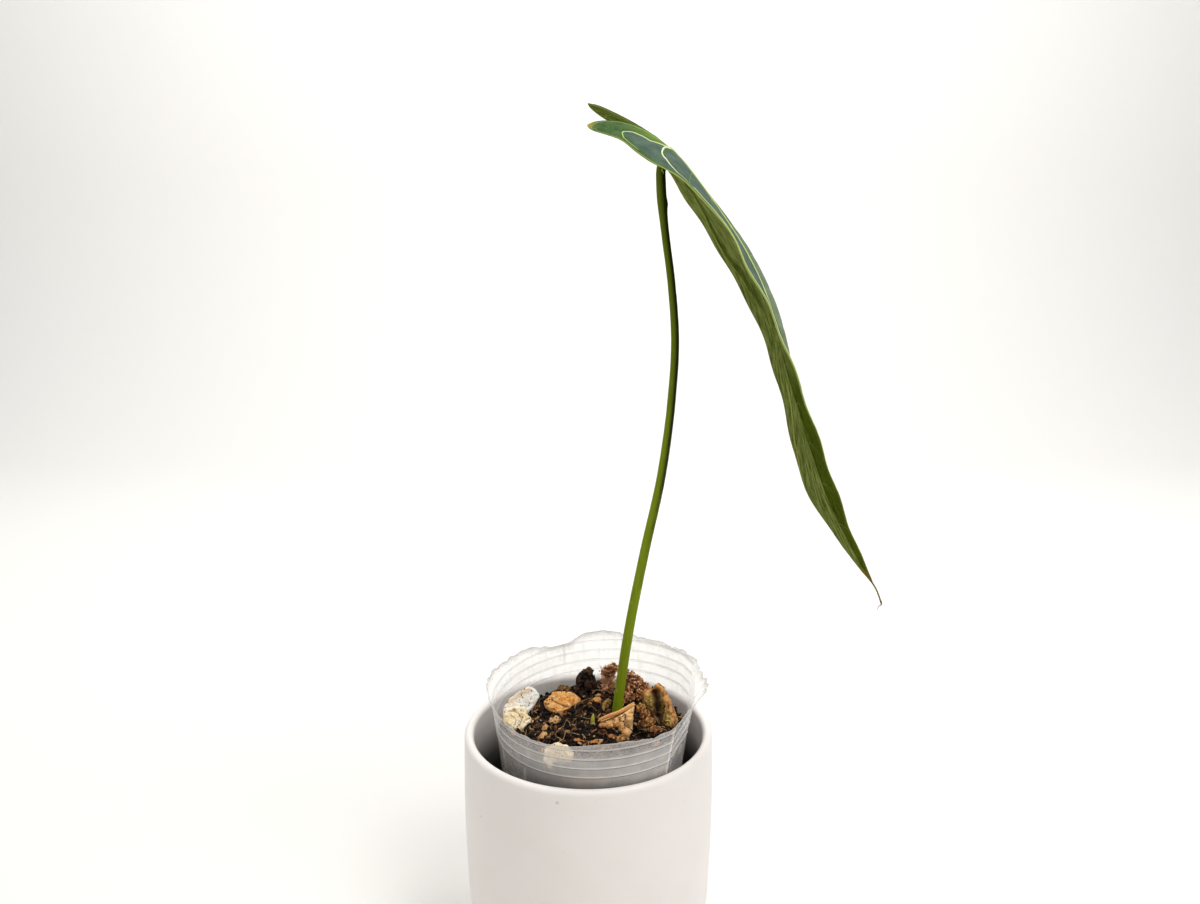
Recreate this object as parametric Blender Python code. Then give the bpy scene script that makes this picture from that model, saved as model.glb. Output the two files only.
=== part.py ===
"""A potted anthurium: one long hanging leaf in a clear nursery cup, in a white ceramic pot.

The origin is the centre of the pot's base. +Z is up, and the leaf hangs out towards +X.
The leaf's near half faces -Y and its far half faces +Y.
All lengths are in millimetres and all angles in degrees. The meshes are made in metres.
"""
import math
import random
from collections import namedtuple

import bmesh
import bpy
import numpy as np
from mathutils import Euler, Matrix, Vector, noise

MM = 0.001
GAP = 0.3
SOCKET_GROWTH = 0.4
SOCKET_SHELL_LIMIT = 3.0
SLIVER = 0.002
UP = Vector((0.0, 0.0, 1.0))
FAR_SIDE = Vector((0.0, 1.0, 0.0))

# Outer pot, with its outer wall as (height, radius) from the foot's rounding to the lip's
POT_HEIGHT = 102.2
POT_WALL = 4.0
POT_FLOOR = 5.0
POT_FOOT_RADIUS = 43.0
POT_INNER_ROUNDING = 7.0
POT_WALL_LINE = [(7.0, 50.2), (24.0, 51.7), (45.0, 52.6), (66.0, 53.0), (84.0, 52.85), (100.0, 52.5)]
POT_FOOT_STEPS = 3
POT_LIP_STEPS = 6
POT_SEGMENTS = 44
POT_COLOUR = (0.86, 0.85, 0.82)

# Nursery cup. Levels run along the cup's axis and are 0 at its first ring ridge.
CUP_POT_LEVEL = -23.0
CUP_BASE_LEVEL = -116.0
CUP_RING_CENTRE = (5.3, -5.0, 120.9)
CUP_POT_CENTRE = (4.5, -3.35, 98.0)
CUP_BASE_CENTRE = (4.2, -2.0, POT_FLOOR + GAP)
CUP_RING_TILT = (3.7, -3.44)
CUP_RADIUS = [(CUP_BASE_LEVEL, 30.0), (-112.0, 31.6), (-60.0, 38.0), (CUP_POT_LEVEL, 42.3), (-14.5, 43.2),
              (0.0, 45.5), (8.0, 48.1)]
CUP_LOWER_LEVELS = (CUP_POT_LEVEL, -60.0, -112.0)
CUP_BELOW_RINGS = -14.5
CUP_WALL = 0.6
CUP_FLOOR_INSET = 1.2
CUP_RINGS = 4
CUP_RING_PITCH = 4.38
CUP_RING_HEIGHT = 0.45
CUP_RING_SHOULDER = 1.1
CUP_SEGMENTS = 48
CUP_COLOUR = (0.80, 0.82, 0.84)
# The side that is pressed flat: its corners as (angle, share of the radius)
FLAT_CORNERS = [(-52.5, 1.0), (-22.5, 0.885), (22.5, 0.97), (34.0, 1.0)]
FLAT_FULL_SHARE = 0.625
FLAT_FADE_ABOVE = 11.5
# The torn rim: (angle, level), with ripples as (height, waves per turn)
TORN_RIM = [(0, 4.0), (23, 2.1), (47, 1.4), (68, 2.2), (100, 3.4), (114, -0.4), (127, 2.8), (155, 5.0),
            (188, 6.9), (212, 3.2), (240, 1.1), (256, 2.0), (277, 3.4), (299, 1.9), (317, 4.0), (335, 7.0),
            (360, 4.0)]
TORN_RIPPLES = [(0.35, 22), (0.25, 41)]
TORN_LOWEST = 0.6

# Potting mix: its top is a base height with mounds as (x, y, spread, height)
MIX_HEIGHT = 103.0
MIX_MOUNDS = [(6.0, -8.0, 22.0, 6.5), (-3.0, -38.0, 13.0, 6.5), (20.5, 15.5, 5.0, 9.5),
              (40.0, 12.0, 12.0, -6.0), (-25.0, 28.0, 14.0, -2.5), (5.0, 19.0, 8.0, 4.0),
              (-14.0, 2.0, 8.0, -2.5), (15.0, -17.0, 6.0, -4.0)]
MIX_LUMP = 1.3
MIX_LUMP_PER_MM = 0.26
MIX_CLEARANCE = 0.4
MIX_BASE_INSET = 2.2
MIX_SHOULDER = 0.8
MIX_RINGS = 12
MIX_COLOUR = (0.055, 0.032, 0.02)

# Crumbs and fibres on the mix, drawn at random between these limits
CRUMB_COUNT = 26
CRUMB_X = (-36.0, 46.0)
CRUMB_Y = (-46.0, 37.0)
CRUMB_SIZE = (1.3, 2.6)
CRUMB_CORNERS = (0.75, 1.2)
CRUMB_WIDTH = (0.6, 1.0)
CRUMB_DEPTH = (0.55, 0.85)
FIBRE_COUNT = 7
FIBRE_X = (-30.0, 40.0)
FIBRE_Y = (-40.0, 30.0)
FIBRE_LENGTH = (9.0, 15.0)
FIBRE_RISE = (1.6, 3.0)
FIBRE_SINK = 0.8
FIBRE_BEND = 0.9
FIBRE_RADIUS = 0.35
FIBRE_STEPS = 5
CLEAR_LEVEL = -18.0

# Loose pieces that lie on the mix. Each has an outline in the plane of its face, drawn about the
# face's centre. The face is tilted from level and turned about Z, and looks along -Y at turn 0.
Chip = namedtuple("Chip", "name centre tilt turn thickness dish colour outline")
CHIPS = [
    Chip("bark_pale_back", (-27.9, 0.7, 112.7), 62, 28, 2.6, 0.0, (0.78, 0.70, 0.58),
         [(-9.5, -3.5), (-8.5, -0.5), (-5.5, 2.0), (-1.5, 4.0), (2.0, 5.0), (4.0, 5.5), (6.5, 4.0),
          (8.0, 1.5), (8.0, 0.0), (6.0, -2.0), (3.0, -4.5), (0.0, -6.5), (-4.5, -7.0), (-8.5, -6.0)]),
    Chip("bark_pale_front", (-28.3, -7.9, 109.7), 48, 18, 3.0, 0.0, (0.82, 0.66, 0.44),
         [(-7.0, 2.5), (-5.5, 4.5), (-2.0, 5.0), (2.0, 4.5), (3.5, 3.5), (3.5, 0.5), (5.0, -1.5),
          (4.0, -3.0), (3.0, -3.0), (2.0, -4.5), (-0.5, -5.5), (-4.0, -4.5), (-7.0, -1.5)]),
    Chip("bark_orange", (-11.1, 9.7, 108.6), 42, 4, 4.0, 0.0, (0.58, 0.27, 0.09),
         [(-8.5, 0.0), (-6.5, 2.0), (-4.5, 4.5), (-0.5, 4.5), (2.0, 4.0), (4.0, 4.0), (7.5, 1.0),
          (7.5, -1.0), (5.5, -2.0), (3.5, -3.0), (0.5, -5.0), (-3.0, -5.5), (-5.5, -4.5), (-8.0, -2.5)]),
    Chip("bark_dark", (-1.2, 15.6, 113.2), 68, 6, 6.5, 0.0, (0.07, 0.045, 0.03),
         [(-4.0, -5.5), (-4.0, 0.5), (-3.0, 4.0), (-0.5, 6.0), (1.5, 7.0), (3.5, 5.5), (4.0, 1.5),
          (4.5, -2.5), (2.0, -6.0), (-1.0, -7.0)]),
    Chip("bark_mossy", (30.4, -1.6, 111.1), 55, -20, 6.5, 3.2, (0.16, 0.11, 0.045),
         [(-8.0, 5.0), (-5.0, 8.5), (-3.0, 10.0), (-1.0, 9.0), (1.0, 6.5), (3.5, 3.0), (6.0, -1.0),
          (7.5, -4.0), (7.0, -6.5), (5.0, -9.0), (0.0, -10.5), (-4.5, -9.5), (-7.5, -4.5), (-8.0, 0.5)]),
    Chip("bark_front", (-0.1, -32.2, 111.9), 35, 0, 1.6, 0.0, (0.62, 0.30, 0.10),
         [(-5.5, 0.5), (-5.0, 1.5), (-3.5, 1.5), (-2.0, 0.5), (0.5, 0.0), (3.5, 1.0), (6.5, 1.0),
          (6.0, 0.0), (3.5, -1.0), (1.0, -1.5), (-3.5, -1.5), (-4.5, -0.5)]),
    Chip("bark_cream", (-11.3, -42.2, 110.0), 84, -14, 4.0, 0.0, (0.80, 0.68, 0.50),
         [(-6.0, -2.0), (-5.5, 3.0), (-1.5, 5.5), (3.0, 5.0), (6.0, 2.0), (5.5, -3.0), (1.5, -5.5),
          (-3.5, -5.0)]),
    Chip("bark_bit_back", (-11.4, 28.8, 105.4), 50, 0, 3.0, 0.0, (0.20, 0.13, 0.06),
         [(-3.5, -1.0), (-3.0, 1.0), (-1.0, 1.5), (1.5, 1.0), (3.0, 0.5), (2.0, -1.5), (-1.5, -2.0)]),
    Chip("bark_bit_middle", (-14.0, -8.5, 108.8), 45, 0, 2.6, 0.0, (0.66, 0.46, 0.27),
         [(-2.5, -0.5), (-2.0, 1.0), (-0.5, 1.0), (0.5, 2.0), (2.0, 1.5), (2.5, 0.0), (1.5, -1.0),
          (0.0, -2.0), (-1.5, -1.5)]),
    Chip("bark_bit_left", (-17.8, -14.0, 108.3), 45, 0, 2.0, 0.0, (0.70, 0.50, 0.30),
         [(-1.5, -1.0), (-1.0, 0.5), (0.5, 1.5), (1.5, 0.5), (1.0, -1.0), (-0.5, -1.5)]),
    Chip("bark_bit_front", (-18.2, -21.8, 109.0), 45, 0, 2.2, 0.0, (0.62, 0.44, 0.26),
         [(-2.0, -1.5), (-1.5, 0.0), (0.0, 1.5), (1.5, 1.5), (2.0, 0.0), (0.5, -1.5)]),
    Chip("bark_bit_stem", (7.5, 1.4, 110.2), 50, 0, 2.4, 0.0, (0.34, 0.24, 0.11),
         [(-0.5, 2.5), (1.0, 3.0), (2.5, 2.5), (2.0, 0.5), (0.5, -1.0), (0.0, -3.0), (-1.5, -3.0),
          (-2.0, -0.5)]),
    Chip("bark_bit_orange", (3.7, 5.4, 111.1), 40, 0, 2.0, 0.0, (0.56, 0.32, 0.12),
         [(-2.5, -0.5), (-1.5, 1.0), (1.0, 1.5), (2.0, 0.0), (1.5, -1.5), (-1.0, -1.0)]),
]
# A chip's edge in layers: (depth as a share of the thickness, size as a share of the outline)
CHIP_LAYERS = [(-1.0, 0.72), (-0.72, 0.97), (-0.25, 1.0), (0.0, 0.86)]

# The curl: its lip from left to right, and the lower edge of the face that hangs from the lip
CURL_LIP = [(4.5, -10.4, 109.2), (8.4, -9.3, 110.0), (11.9, -8.3, 110.6), (15.0, -6.9, 111.4),
            (17.2, -5.3, 112.2), (19.4, -3.0, 113.2)]
CURL_EDGE = [(5.0, -12.4, 106.2), (8.4, -11.6, 107.4), (12.2, -12.6, 107.0), (15.0, -15.4, 105.4),
             (17.8, -14.8, 105.8), (18.9, -6.4, 111.3)]
CURL_RUN = (1.0, 0.4, 0.2)
CURL_THICKNESS = 1.5
CURL_LIP_BACK = (0.0, 1.1, 0.1)
CURL_LIP_CROWN = (0.0, 0.3, 0.8)
CURL_LIP_BULGE = 0.5
CURL_FACE_BULGE = 0.7
CURL_COLOUR = (0.46, 0.24, 0.10)

# Coir tuft: lumps as (offset from its centre, size), with fibres that fan out upwards
COIR_CENTRE = (8.4, 17.4, 109.0)
COIR_LUMPS = [((0.0, 0.0, 0.0), 4.0), ((-0.6, 0.4, 3.4), 3.9), ((0.9, 0.2, 6.4), 3.4),
              ((-0.4, 0.5, 9.0), 2.4)]
COIR_LUMP_SEED = 21
COIR_FIBRES = 12
COIR_FIBRE_RADIUS = 0.6
COIR_FIBRE_TAPER = 0.6
COIR_FIBRE_STEPS = 3
COIR_HEIGHT = 13.0
COIR_LENGTH_SHARE = (0.62, 1.0)
COIR_LEAN = (0.15, 0.6)
COIR_SPREAD = 0.55
COIR_COLOUR = (0.30, 0.13, 0.06)
# Its seat above the core: (offset up, radius)
COIR_SEAT = [(0.6, 5.3), (4.0, 6.6), (16.0, 8.0)]

# Petiole: centre line with diameter
PETIOLE_PATH = [(10.6, -2.4, 95.0, 5.2), (12.1, -2.0, 109.0, 4.4), (16.6, -1.7, 143.4, 4.1),
                (22.9, -1.4, 178.0, 3.9), (29.7, -1.1, 211.4, 3.6), (33.5, -0.8, 243.9, 3.3),
                (34.4, -0.6, 265.0, 3.2), (32.6, -0.4, 288.0, 3.1), (29.6, -0.2, 309.5, 3.2),
                (28.4, -0.1, 320.6, 3.8), (28.0, 0.0, 328.0, 3.7)]
PETIOLE_TOP_GAP = 0.7
PETIOLE_TOP_BEND = (-0.9, 0.0, 0.9)
PETIOLE_TOP_TAPER = 0.06
PETIOLE_SIDES = 10
PETIOLE_STEPS = 30
PETIOLE_HOLE_TOP = 122.0
PETIOLE_COLOUR = (0.09, 0.17, 0.03)

# New shoot: stations are (share of its length, share of its radius)
SHOOT_BASE = (3.4, -14.5, 103.4)
SHOOT_TIP = (2.2, -14.0, 114.3)
SHOOT_RADIUS = 1.0
SHOOT_STATIONS = [(0.0, 0.95), (0.35, 1.0), (0.6, 0.95), (0.85, 0.7), (1.0, 0.25)]
SHOOT_SIDES = 8
SHOOT_COLOUR = (0.42, 0.58, 0.12)

# Leaf blade, laid out flat: u runs from the petiole's node to the tip, v from the midrib outwards
LEAF_NODE = (31.8, 0.0, 337.1)
LEAF_LENGTH = 200.6
LEAF_HALF_WIDTH = 39.0
LEAF_WIDEST = 25.0
LEAF_TIP_HALF_WIDTH = 0.45
LEAF_TAPER = (1.55, 1.15)
# The lobes behind the node as (length, distance of the lobe's tip from the midrib, roundness)
NEAR_LOBE = (31.5, 14.0, 1.4)
FAR_LOBE = (37.0, 8.0, 1.6)
LEAF_COLOUR = (0.06, 0.13, 0.06)
BLADE_THICKNESS = 0.8
MIDRIB_KEEL = 1.3
MIDRIB_KEEL_RUN_IN = 10.0
MIDRIB_KEEL_TAPER = 0.8
MIDRIB_GROOVE = 0.35
MIDRIB_HALF_WIDTH = 1.7
MARGIN_WAVE = 0.45
MARGIN_WAVE_PER_MM = 0.23
MARGIN_WAVE_SHIFT = 1.3
MARGIN_WAVE_FULL_WIDTH = 15.0
# Veins: the basal ones leave at the node, the others in turn along the midrib
BASAL_VEINS = 3
MIDRIB_VEINS = 13
LINES_PER_VEIN = 2
VEIN_RELIEF = 0.45
VEIN_RELIEF_FULL_WIDTH = 12.0
VEIN_CROWDING = 0.28
VEIN_SWEEP = 14.5
LOBE_VEIN_SPACING = 1.7
VEIN_HEADING = (167.0, 84.0)
VEIN_HEADING_TURN = 0.75
VEIN_LEAD = (0.86, 0.5)
COLLECTIVE_VEIN = 0.85
# Shares of a vein's length at which the blade has a row of points
ACROSS = (0.0, 0.05, 0.16, 0.28, 0.4, 0.52, 0.64, 0.75, 0.85, 0.93, 1.0)
# How the blade hangs along u: slope of the midrib, and each half's droop and arch
SLOPE = [(-38, 27), (-18, 31), (-9, 36), (0, 42), (10, 50), (25, 53), (40, 56), (58, 64), (75, 70),
         (100, 72), (140, 69.5), (172, 61), (186, 60), (191, 54.5), (195, 65), (200, 73.5)]
NEAR_DROOP = [(-36, 60), (-27, 38), (-18, 28), (-9, 25), (0, 21), (25, 11), (55, 11.5), (85, 8), (120, 2),
              (150, -5), (180, -7), (200, -12)]
FAR_DROOP = [(-38, 8), (-18, 4), (0, 3), (25, 5), (55, 7), (90, 3.5), (120, 8), (150, 24), (180, 20),
             (200, 0)]
NEAR_ARCH = [(-36, -8), (-27, -9), (-18, 2), (-9, 15), (0, 12), (12, 4), (25, 0.5), (55, 0.5), (90, 2),
             (120, 4), (150, 4), (200, 2)]
FAR_ARCH = [(-38, 6), (-18, 7), (0, 9), (25, 21), (55, 36), (75, 40), (95, 32), (120, 14), (150, 8),
            (200, 3)]
STRAIGHT = 1e-6
LEAF_SWAY = -6.0
GUIDE_STEP = 0.5
GUIDE_START = -40.0
GUIDE_END = 206.0


def clear_scene():
    for obj in list(bpy.data.objects):
        bpy.data.objects.remove(obj, do_unlink=True)


def through(stations, x):
    """Smooth curve through (position, value) stations, read at x."""
    pos = np.array([s[0] for s in stations], float)
    val = np.array([s[1] for s in stations], float)
    grad = np.gradient(val, pos)
    x = np.asarray(x, float)
    i = np.clip(np.searchsorted(pos, x) - 1, 0, len(pos) - 2)
    h = pos[i + 1] - pos[i]
    t = np.clip((x - pos[i]) / h, 0.0, 1.0)
    start = (2 * t**3 - 3 * t**2 + 1) * val[i] + (t**3 - 2 * t**2 + t) * h * grad[i]
    end = (3 * t**2 - 2 * t**3) * val[i + 1] + (t**3 - t**2) * h * grad[i + 1]
    return start + end


def between(limits, share):
    """The value at a share of the way between two limits."""
    return limits[0] + (limits[1] - limits[0]) * share


def material(name, colour, roughness, alpha=1.0):
    mat = bpy.data.materials.new(name)
    mat.use_nodes = True
    shader = mat.node_tree.nodes["Principled BSDF"]
    shader.inputs["Base Color"].default_value = (*colour, 1.0)
    shader.inputs["Roughness"].default_value = roughness
    shader.inputs["Metallic"].default_value = 0.0
    shader.inputs["Alpha"].default_value = alpha
    return mat


def link(name, mesh):
    obj = bpy.data.objects.new(name, mesh)
    bpy.context.scene.collection.objects.link(obj)
    return obj


def add_object(name, points, faces, mat, sharp_angle=40.0):
    """An object from points in millimetres, with its faces turned outwards."""
    mesh = bpy.data.meshes.new(name)
    mesh.from_pydata([tuple(Vector(p) * MM) for p in points], [], faces)
    mesh.validate()
    bm = bmesh.new()
    bm.from_mesh(mesh)
    bmesh.ops.recalc_face_normals(bm, faces=bm.faces)
    bm.to_mesh(mesh)
    bm.free()
    mesh.materials.append(mat)
    mesh.shade_smooth()
    mesh.set_sharp_from_angle(angle=math.radians(sharp_angle))
    return link(name, mesh)


def turn_angles(count):
    return [2 * math.pi * k / count for k in range(count)]


def skin(rings):
    """Points and triangles of a tube through rings of equal size, with a fan at each end."""
    count = len(rings[0])
    points = [p for ring in rings for p in ring]
    faces = []
    for r in range(len(rings) - 1):
        for k in range(count):
            nxt = (k + 1) % count
            low = r * count
            high = low + count
            faces.append((low + k, low + nxt, high + nxt))
            faces.append((low + k, high + nxt, high + k))
    last = (len(rings) - 1) * count
    for ring, start in ((rings[0], 0), (rings[-1], last)):
        centre = len(points)
        points.append(tuple(sum(c) / count for c in zip(*ring)))
        for k in range(count):
            nxt = (k + 1) % count
            faces.append((start + nxt, start + k, centre) if start == 0 else (start + k, start + nxt, centre))
    return points, faces


def tube_rings(path, radii, sides):
    """Rings of a tube along a path of points, turned smoothly with it."""
    rings = []
    side = FAR_SIDE
    for i, point in enumerate(path):
        ahead = path[min(i + 1, len(path) - 1)] - path[max(i - 1, 0)]
        ahead.normalize()
        side = (side - ahead * side.dot(ahead)).normalized()
        other = ahead.cross(side)
        rings.append([point + radii[i] * (math.cos(a) * side + math.sin(a) * other)
                      for a in turn_angles(sides)])
    return rings


def combine(target, tools, operation):
    """Apply one Boolean of a group of objects to the target, and remove the group.

    The exact solver leaves open edges between so many small crumbs, and the manifold one doesn't.
    """
    group = bpy.data.collections.new(target.name + "_tools")
    bpy.context.scene.collection.children.link(group)
    for tool in tools:
        tool.hide_render = True
        tool.display_type = "WIRE"
        bpy.context.scene.collection.objects.unlink(tool)
        group.objects.link(tool)
    mod = target.modifiers.new("shape", "BOOLEAN")
    mod.operation = operation
    mod.operand_type = "COLLECTION"
    mod.collection = group
    mod.solver = "MANIFOLD"
    graph = bpy.context.evaluated_depsgraph_get()
    result = bpy.data.meshes.new_from_object(target.evaluated_get(graph))
    target.modifiers.clear()
    target.data = result
    for tool in tools:
        bpy.data.objects.remove(tool, do_unlink=True)
    bpy.data.collections.remove(group)


def keep_largest_body(obj):
    """Close up slivers that a Boolean leaves, drop the loose specks, and keep the main body."""
    bm = bmesh.new()
    bm.from_mesh(obj.data)
    bmesh.ops.triangulate(bm, faces=bm.faces)
    bmesh.ops.dissolve_degenerate(bm, edges=bm.edges, dist=SLIVER * MM)
    left = set(bm.faces)
    bodies = []
    while left:
        body = set()
        queue = [left.pop()]
        while queue:
            face = queue.pop()
            body.add(face)
            for edge in face.edges:
                for other in edge.link_faces:
                    if other in left:
                        left.remove(other)
                        queue.append(other)
        bodies.append(body)
    bodies.sort(key=len, reverse=True)
    bmesh.ops.delete(bm, geom=[f for body in bodies[1:] for f in body], context="FACES")
    bm.to_mesh(obj.data)
    bm.free()


def swell(obj, distance):
    """Move every face of a mesh outwards by about the same distance."""
    bm = bmesh.new()
    bm.from_mesh(obj.data)
    bm.normal_update()
    moves = []
    for vert in bm.verts:
        moves.append(vert.normal * distance * MM * min(vert.calc_shell_factor(), SOCKET_SHELL_LIMIT))
    for vert, move in zip(bm.verts, moves):
        vert.co += move
    bm.to_mesh(obj.data)
    bm.free()


def pot_profile():
    """Half section of the pot as (radius, height), from the base's centre round to the floor's."""
    foot_height, foot_radius = POT_WALL_LINE[0]
    profile = [(0.0, 0.0), (POT_FOOT_RADIUS, 0.0)]
    for step in range(1, POT_FOOT_STEPS):
        angle = math.pi / 2 * step / POT_FOOT_STEPS
        profile.append((POT_FOOT_RADIUS + (foot_radius - POT_FOOT_RADIUS) * math.sin(angle),
                        foot_height * (1 - math.cos(angle))))
    for height, radius in POT_WALL_LINE:
        profile.append((radius, height))
    lip_height, lip_radius = POT_WALL_LINE[-1]
    for step in range(1, POT_LIP_STEPS + 1):
        angle = math.pi * step / POT_LIP_STEPS
        profile.append((lip_radius - POT_WALL / 2 * (1 - math.cos(angle)),
                        lip_height + (POT_HEIGHT - lip_height) * math.sin(angle)))
    for height, radius in reversed(POT_WALL_LINE[1:-1]):
        profile.append((radius - POT_WALL, height))
    for angle in (0.0, math.pi / 4, math.pi / 2):
        profile.append((foot_radius - POT_WALL - POT_INNER_ROUNDING * (1 - math.cos(angle)),
                        POT_FLOOR + POT_INNER_ROUNDING * (1 - math.sin(angle))))
    profile.append((0.0, POT_FLOOR))
    return profile


def make_pot():
    bm = bmesh.new()
    verts = [bm.verts.new((r * MM, 0.0, z * MM)) for r, z in pot_profile()]
    edges = [bm.edges.new(pair) for pair in zip(verts[:-1], verts[1:])]
    bmesh.ops.spin(bm, geom=verts + edges, cent=(0, 0, 0), axis=(0, 0, 1), angle=2 * math.pi,
                   steps=POT_SEGMENTS, use_merge=True)
    bmesh.ops.remove_doubles(bm, verts=bm.verts, dist=SLIVER * MM)
    bmesh.ops.recalc_face_normals(bm, faces=bm.faces)
    mesh = bpy.data.meshes.new("pot")
    bm.to_mesh(mesh)
    bm.free()
    mesh.materials.append(material("pot_ceramic", POT_COLOUR, 0.45))
    mesh.shade_smooth()
    mesh.set_sharp_from_angle(angle=math.radians(35.0))
    return link("pot", mesh)


def flat_side(angle):
    """Radius of the cup's pressed side as a share of the full round: straight between its corners."""
    degrees = (math.degrees(angle) + 180.0) % 360.0 - 180.0
    for (a, share_a), (b, share_b) in zip(FLAT_CORNERS[:-1], FLAT_CORNERS[1:]):
        if a <= degrees <= b:
            to_a = math.sin(math.radians(degrees - a))
            to_b = math.sin(math.radians(b - degrees))
            return share_a * share_b * math.sin(math.radians(b - a)) / (share_a * to_a + share_b * to_b)
    return 1.0


def cup_centre(level):
    """The cup's axis: it leans, and bends a little where it passes the pot's lip."""
    if level > 0.0:
        rise = Vector(CUP_RING_CENTRE) - Vector(CUP_POT_CENTRE)
        return Vector(CUP_RING_CENTRE) + rise * (level / -CUP_POT_LEVEL)
    levels = (CUP_BASE_LEVEL, CUP_POT_LEVEL, 0.0)
    centres = (CUP_BASE_CENTRE, CUP_POT_CENTRE, CUP_RING_CENTRE)
    return Vector([np.interp(level, levels, [c[i] for c in centres]) for i in range(3)])


def cup_point(angle, level, inset):
    """A point on the cup's wall, at an inset from its outer face."""
    share = (level - CUP_BASE_LEVEL) / -CUP_BASE_LEVEL
    fade = min(share / FLAT_FULL_SHARE, 1.0) * max(1.0 - max(level, 0.0) / FLAT_FADE_ABOVE, 0.0)
    pressed = 1.0 - (1.0 - flat_side(angle)) * fade
    round_radius = float(np.interp(level, [s[0] for s in CUP_RADIUS], [s[1] for s in CUP_RADIUS]))
    radius = round_radius * pressed - inset
    tilt = [math.radians(t) * share for t in CUP_RING_TILT]
    lean = Euler((tilt[0], tilt[1], 0.0)).to_matrix()
    return cup_centre(level) + lean @ Vector((radius * math.cos(angle), radius * math.sin(angle), 0.0))


def torn_rim(angle):
    """Level of the torn rim, above the first ring ridge."""
    level = float(through(TORN_RIM, math.degrees(angle)))
    for height, waves in TORN_RIPPLES:
        level += height * math.sin(waves * angle)
    return max(level, TORN_LOWEST)


def cup_levels():
    """Levels down the cup's wall, with how far each stands out: ridges alternate with the wall."""
    levels = []
    for ring in range(CUP_RINGS):
        ridge = -ring * CUP_RING_PITCH
        levels.append((ridge, CUP_RING_HEIGHT))
        levels.append((ridge - CUP_RING_SHOULDER, 0.0))
        if ring < CUP_RINGS - 1:
            levels.append((ridge - CUP_RING_PITCH + CUP_RING_SHOULDER, 0.0))
    levels += [(level, 0.0) for level in CUP_LOWER_LEVELS]
    levels.append((CUP_BASE_LEVEL, 0.0))
    return levels


def make_cup():
    angles = turn_angles(CUP_SEGMENTS)
    levels = cup_levels()
    rings = []
    for level, out in reversed(levels):
        rings.append([cup_point(a, level, -out) for a in angles])
    rings.append([cup_point(a, torn_rim(a), 0.0) for a in angles])
    rings.append([cup_point(a, torn_rim(a), CUP_WALL) for a in angles])
    for level, out in levels[:-1]:
        rings.append([cup_point(a, level, CUP_WALL - out) for a in angles])
    rings.append([cup_point(a, CUP_BASE_LEVEL + CUP_WALL, CUP_FLOOR_INSET) for a in angles])
    points, faces = skin(rings)
    return add_object("nursery_cup", points, faces, material("clear_plastic", CUP_COLOUR, 0.25, 0.4))


def mix_height(x, y):
    """Top of the potting mix at a place."""
    z = MIX_HEIGHT
    for mound_x, mound_y, spread, height in MIX_MOUNDS:
        away = (x - mound_x)**2 + (y - mound_y)**2
        z += height * math.exp(-away / (2 * spread**2))
    place = Vector((x, y, 0.0)) * MIX_LUMP_PER_MM
    coarse = noise.noise(place)
    fine = noise.noise(place * 2 + UP * 0.156)
    return z + MIX_LUMP * (coarse + 0.6 * fine)


def mix_side(angle, level):
    """The mix's side: just inside the cup's wall."""
    return cup_point(angle, level, CUP_WALL + MIX_CLEARANCE)


def mix_edge_level(angle):
    """Level along the cup at which the mix's top meets the wall, closed in on step by step."""
    level = CUP_BELOW_RINGS
    for _ in range(8):
        point = mix_side(angle, level)
        level += mix_height(point.x, point.y) - point.z
    return level


def make_mix():
    angles = turn_angles(CUP_SEGMENTS)
    tops = [mix_edge_level(a) for a in angles]
    rings = [[cup_point(a, CUP_BASE_LEVEL + CUP_WALL + GAP, MIX_BASE_INSET) for a in angles]]
    for level in reversed(CUP_LOWER_LEVELS):
        rings.append([mix_side(a, level) for a in angles])
    rings.append([mix_side(a, min(CUP_BELOW_RINGS, top - MIX_SHOULDER)) for a, top in zip(angles, tops)])
    top_edge = [mix_side(a, top) for a, top in zip(angles, tops)]
    rings.append(top_edge)
    centre = sum(top_edge, Vector()) / len(top_edge)
    for ring in range(1, MIX_RINGS):
        level_ring = []
        for edge in top_edge:
            place = edge.lerp(centre, ring / MIX_RINGS)
            level_ring.append(Vector((place.x, place.y, mix_height(place.x, place.y))))
        rings.append(level_ring)
    # Skinned from the top down, so that its side is split into triangles as the cup's inside is
    points, faces = skin(rings[::-1])
    return add_object("potting_mix", points, faces, material("potting_mix", MIX_COLOUR, 0.95))


def crumb(name, centre, size, seed, mat):
    """A small angular lump."""
    rng = random.Random(seed)
    bm = bmesh.new()
    bmesh.ops.create_icosphere(bm, subdivisions=1, radius=size * MM)
    for vert in bm.verts:
        vert.co *= rng.uniform(*CRUMB_CORNERS)
    turn = Euler([rng.uniform(0, math.pi) for _ in range(3)]).to_matrix().to_4x4()
    squash = Matrix.Diagonal((1.0, rng.uniform(*CRUMB_WIDTH), rng.uniform(*CRUMB_DEPTH), 1.0))
    place = Matrix.Translation(Vector(centre) * MM) @ turn @ squash
    bmesh.ops.transform(bm, matrix=place, verts=bm.verts)
    mesh = bpy.data.meshes.new(name)
    bm.to_mesh(mesh)
    bm.free()
    mesh.materials.append(mat)
    return link(name, mesh)


def fibre_path(x, y, heading, length, rise, seed):
    """Centre line of a thin bent fibre with both ends sunk in the mix."""
    bend = random.Random(seed).uniform(-FIBRE_BEND, FIBRE_BEND)
    path = []
    for i in range(FIBRE_STEPS + 1):
        t = i / FIBRE_STEPS
        px = x + length * t * math.cos(heading + bend * t)
        py = y + length * t * math.sin(heading + bend * t)
        path.append(Vector((px, py, mix_height(px, py) + rise * math.sin(math.pi * t) - FIBRE_SINK)))
    return path


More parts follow.
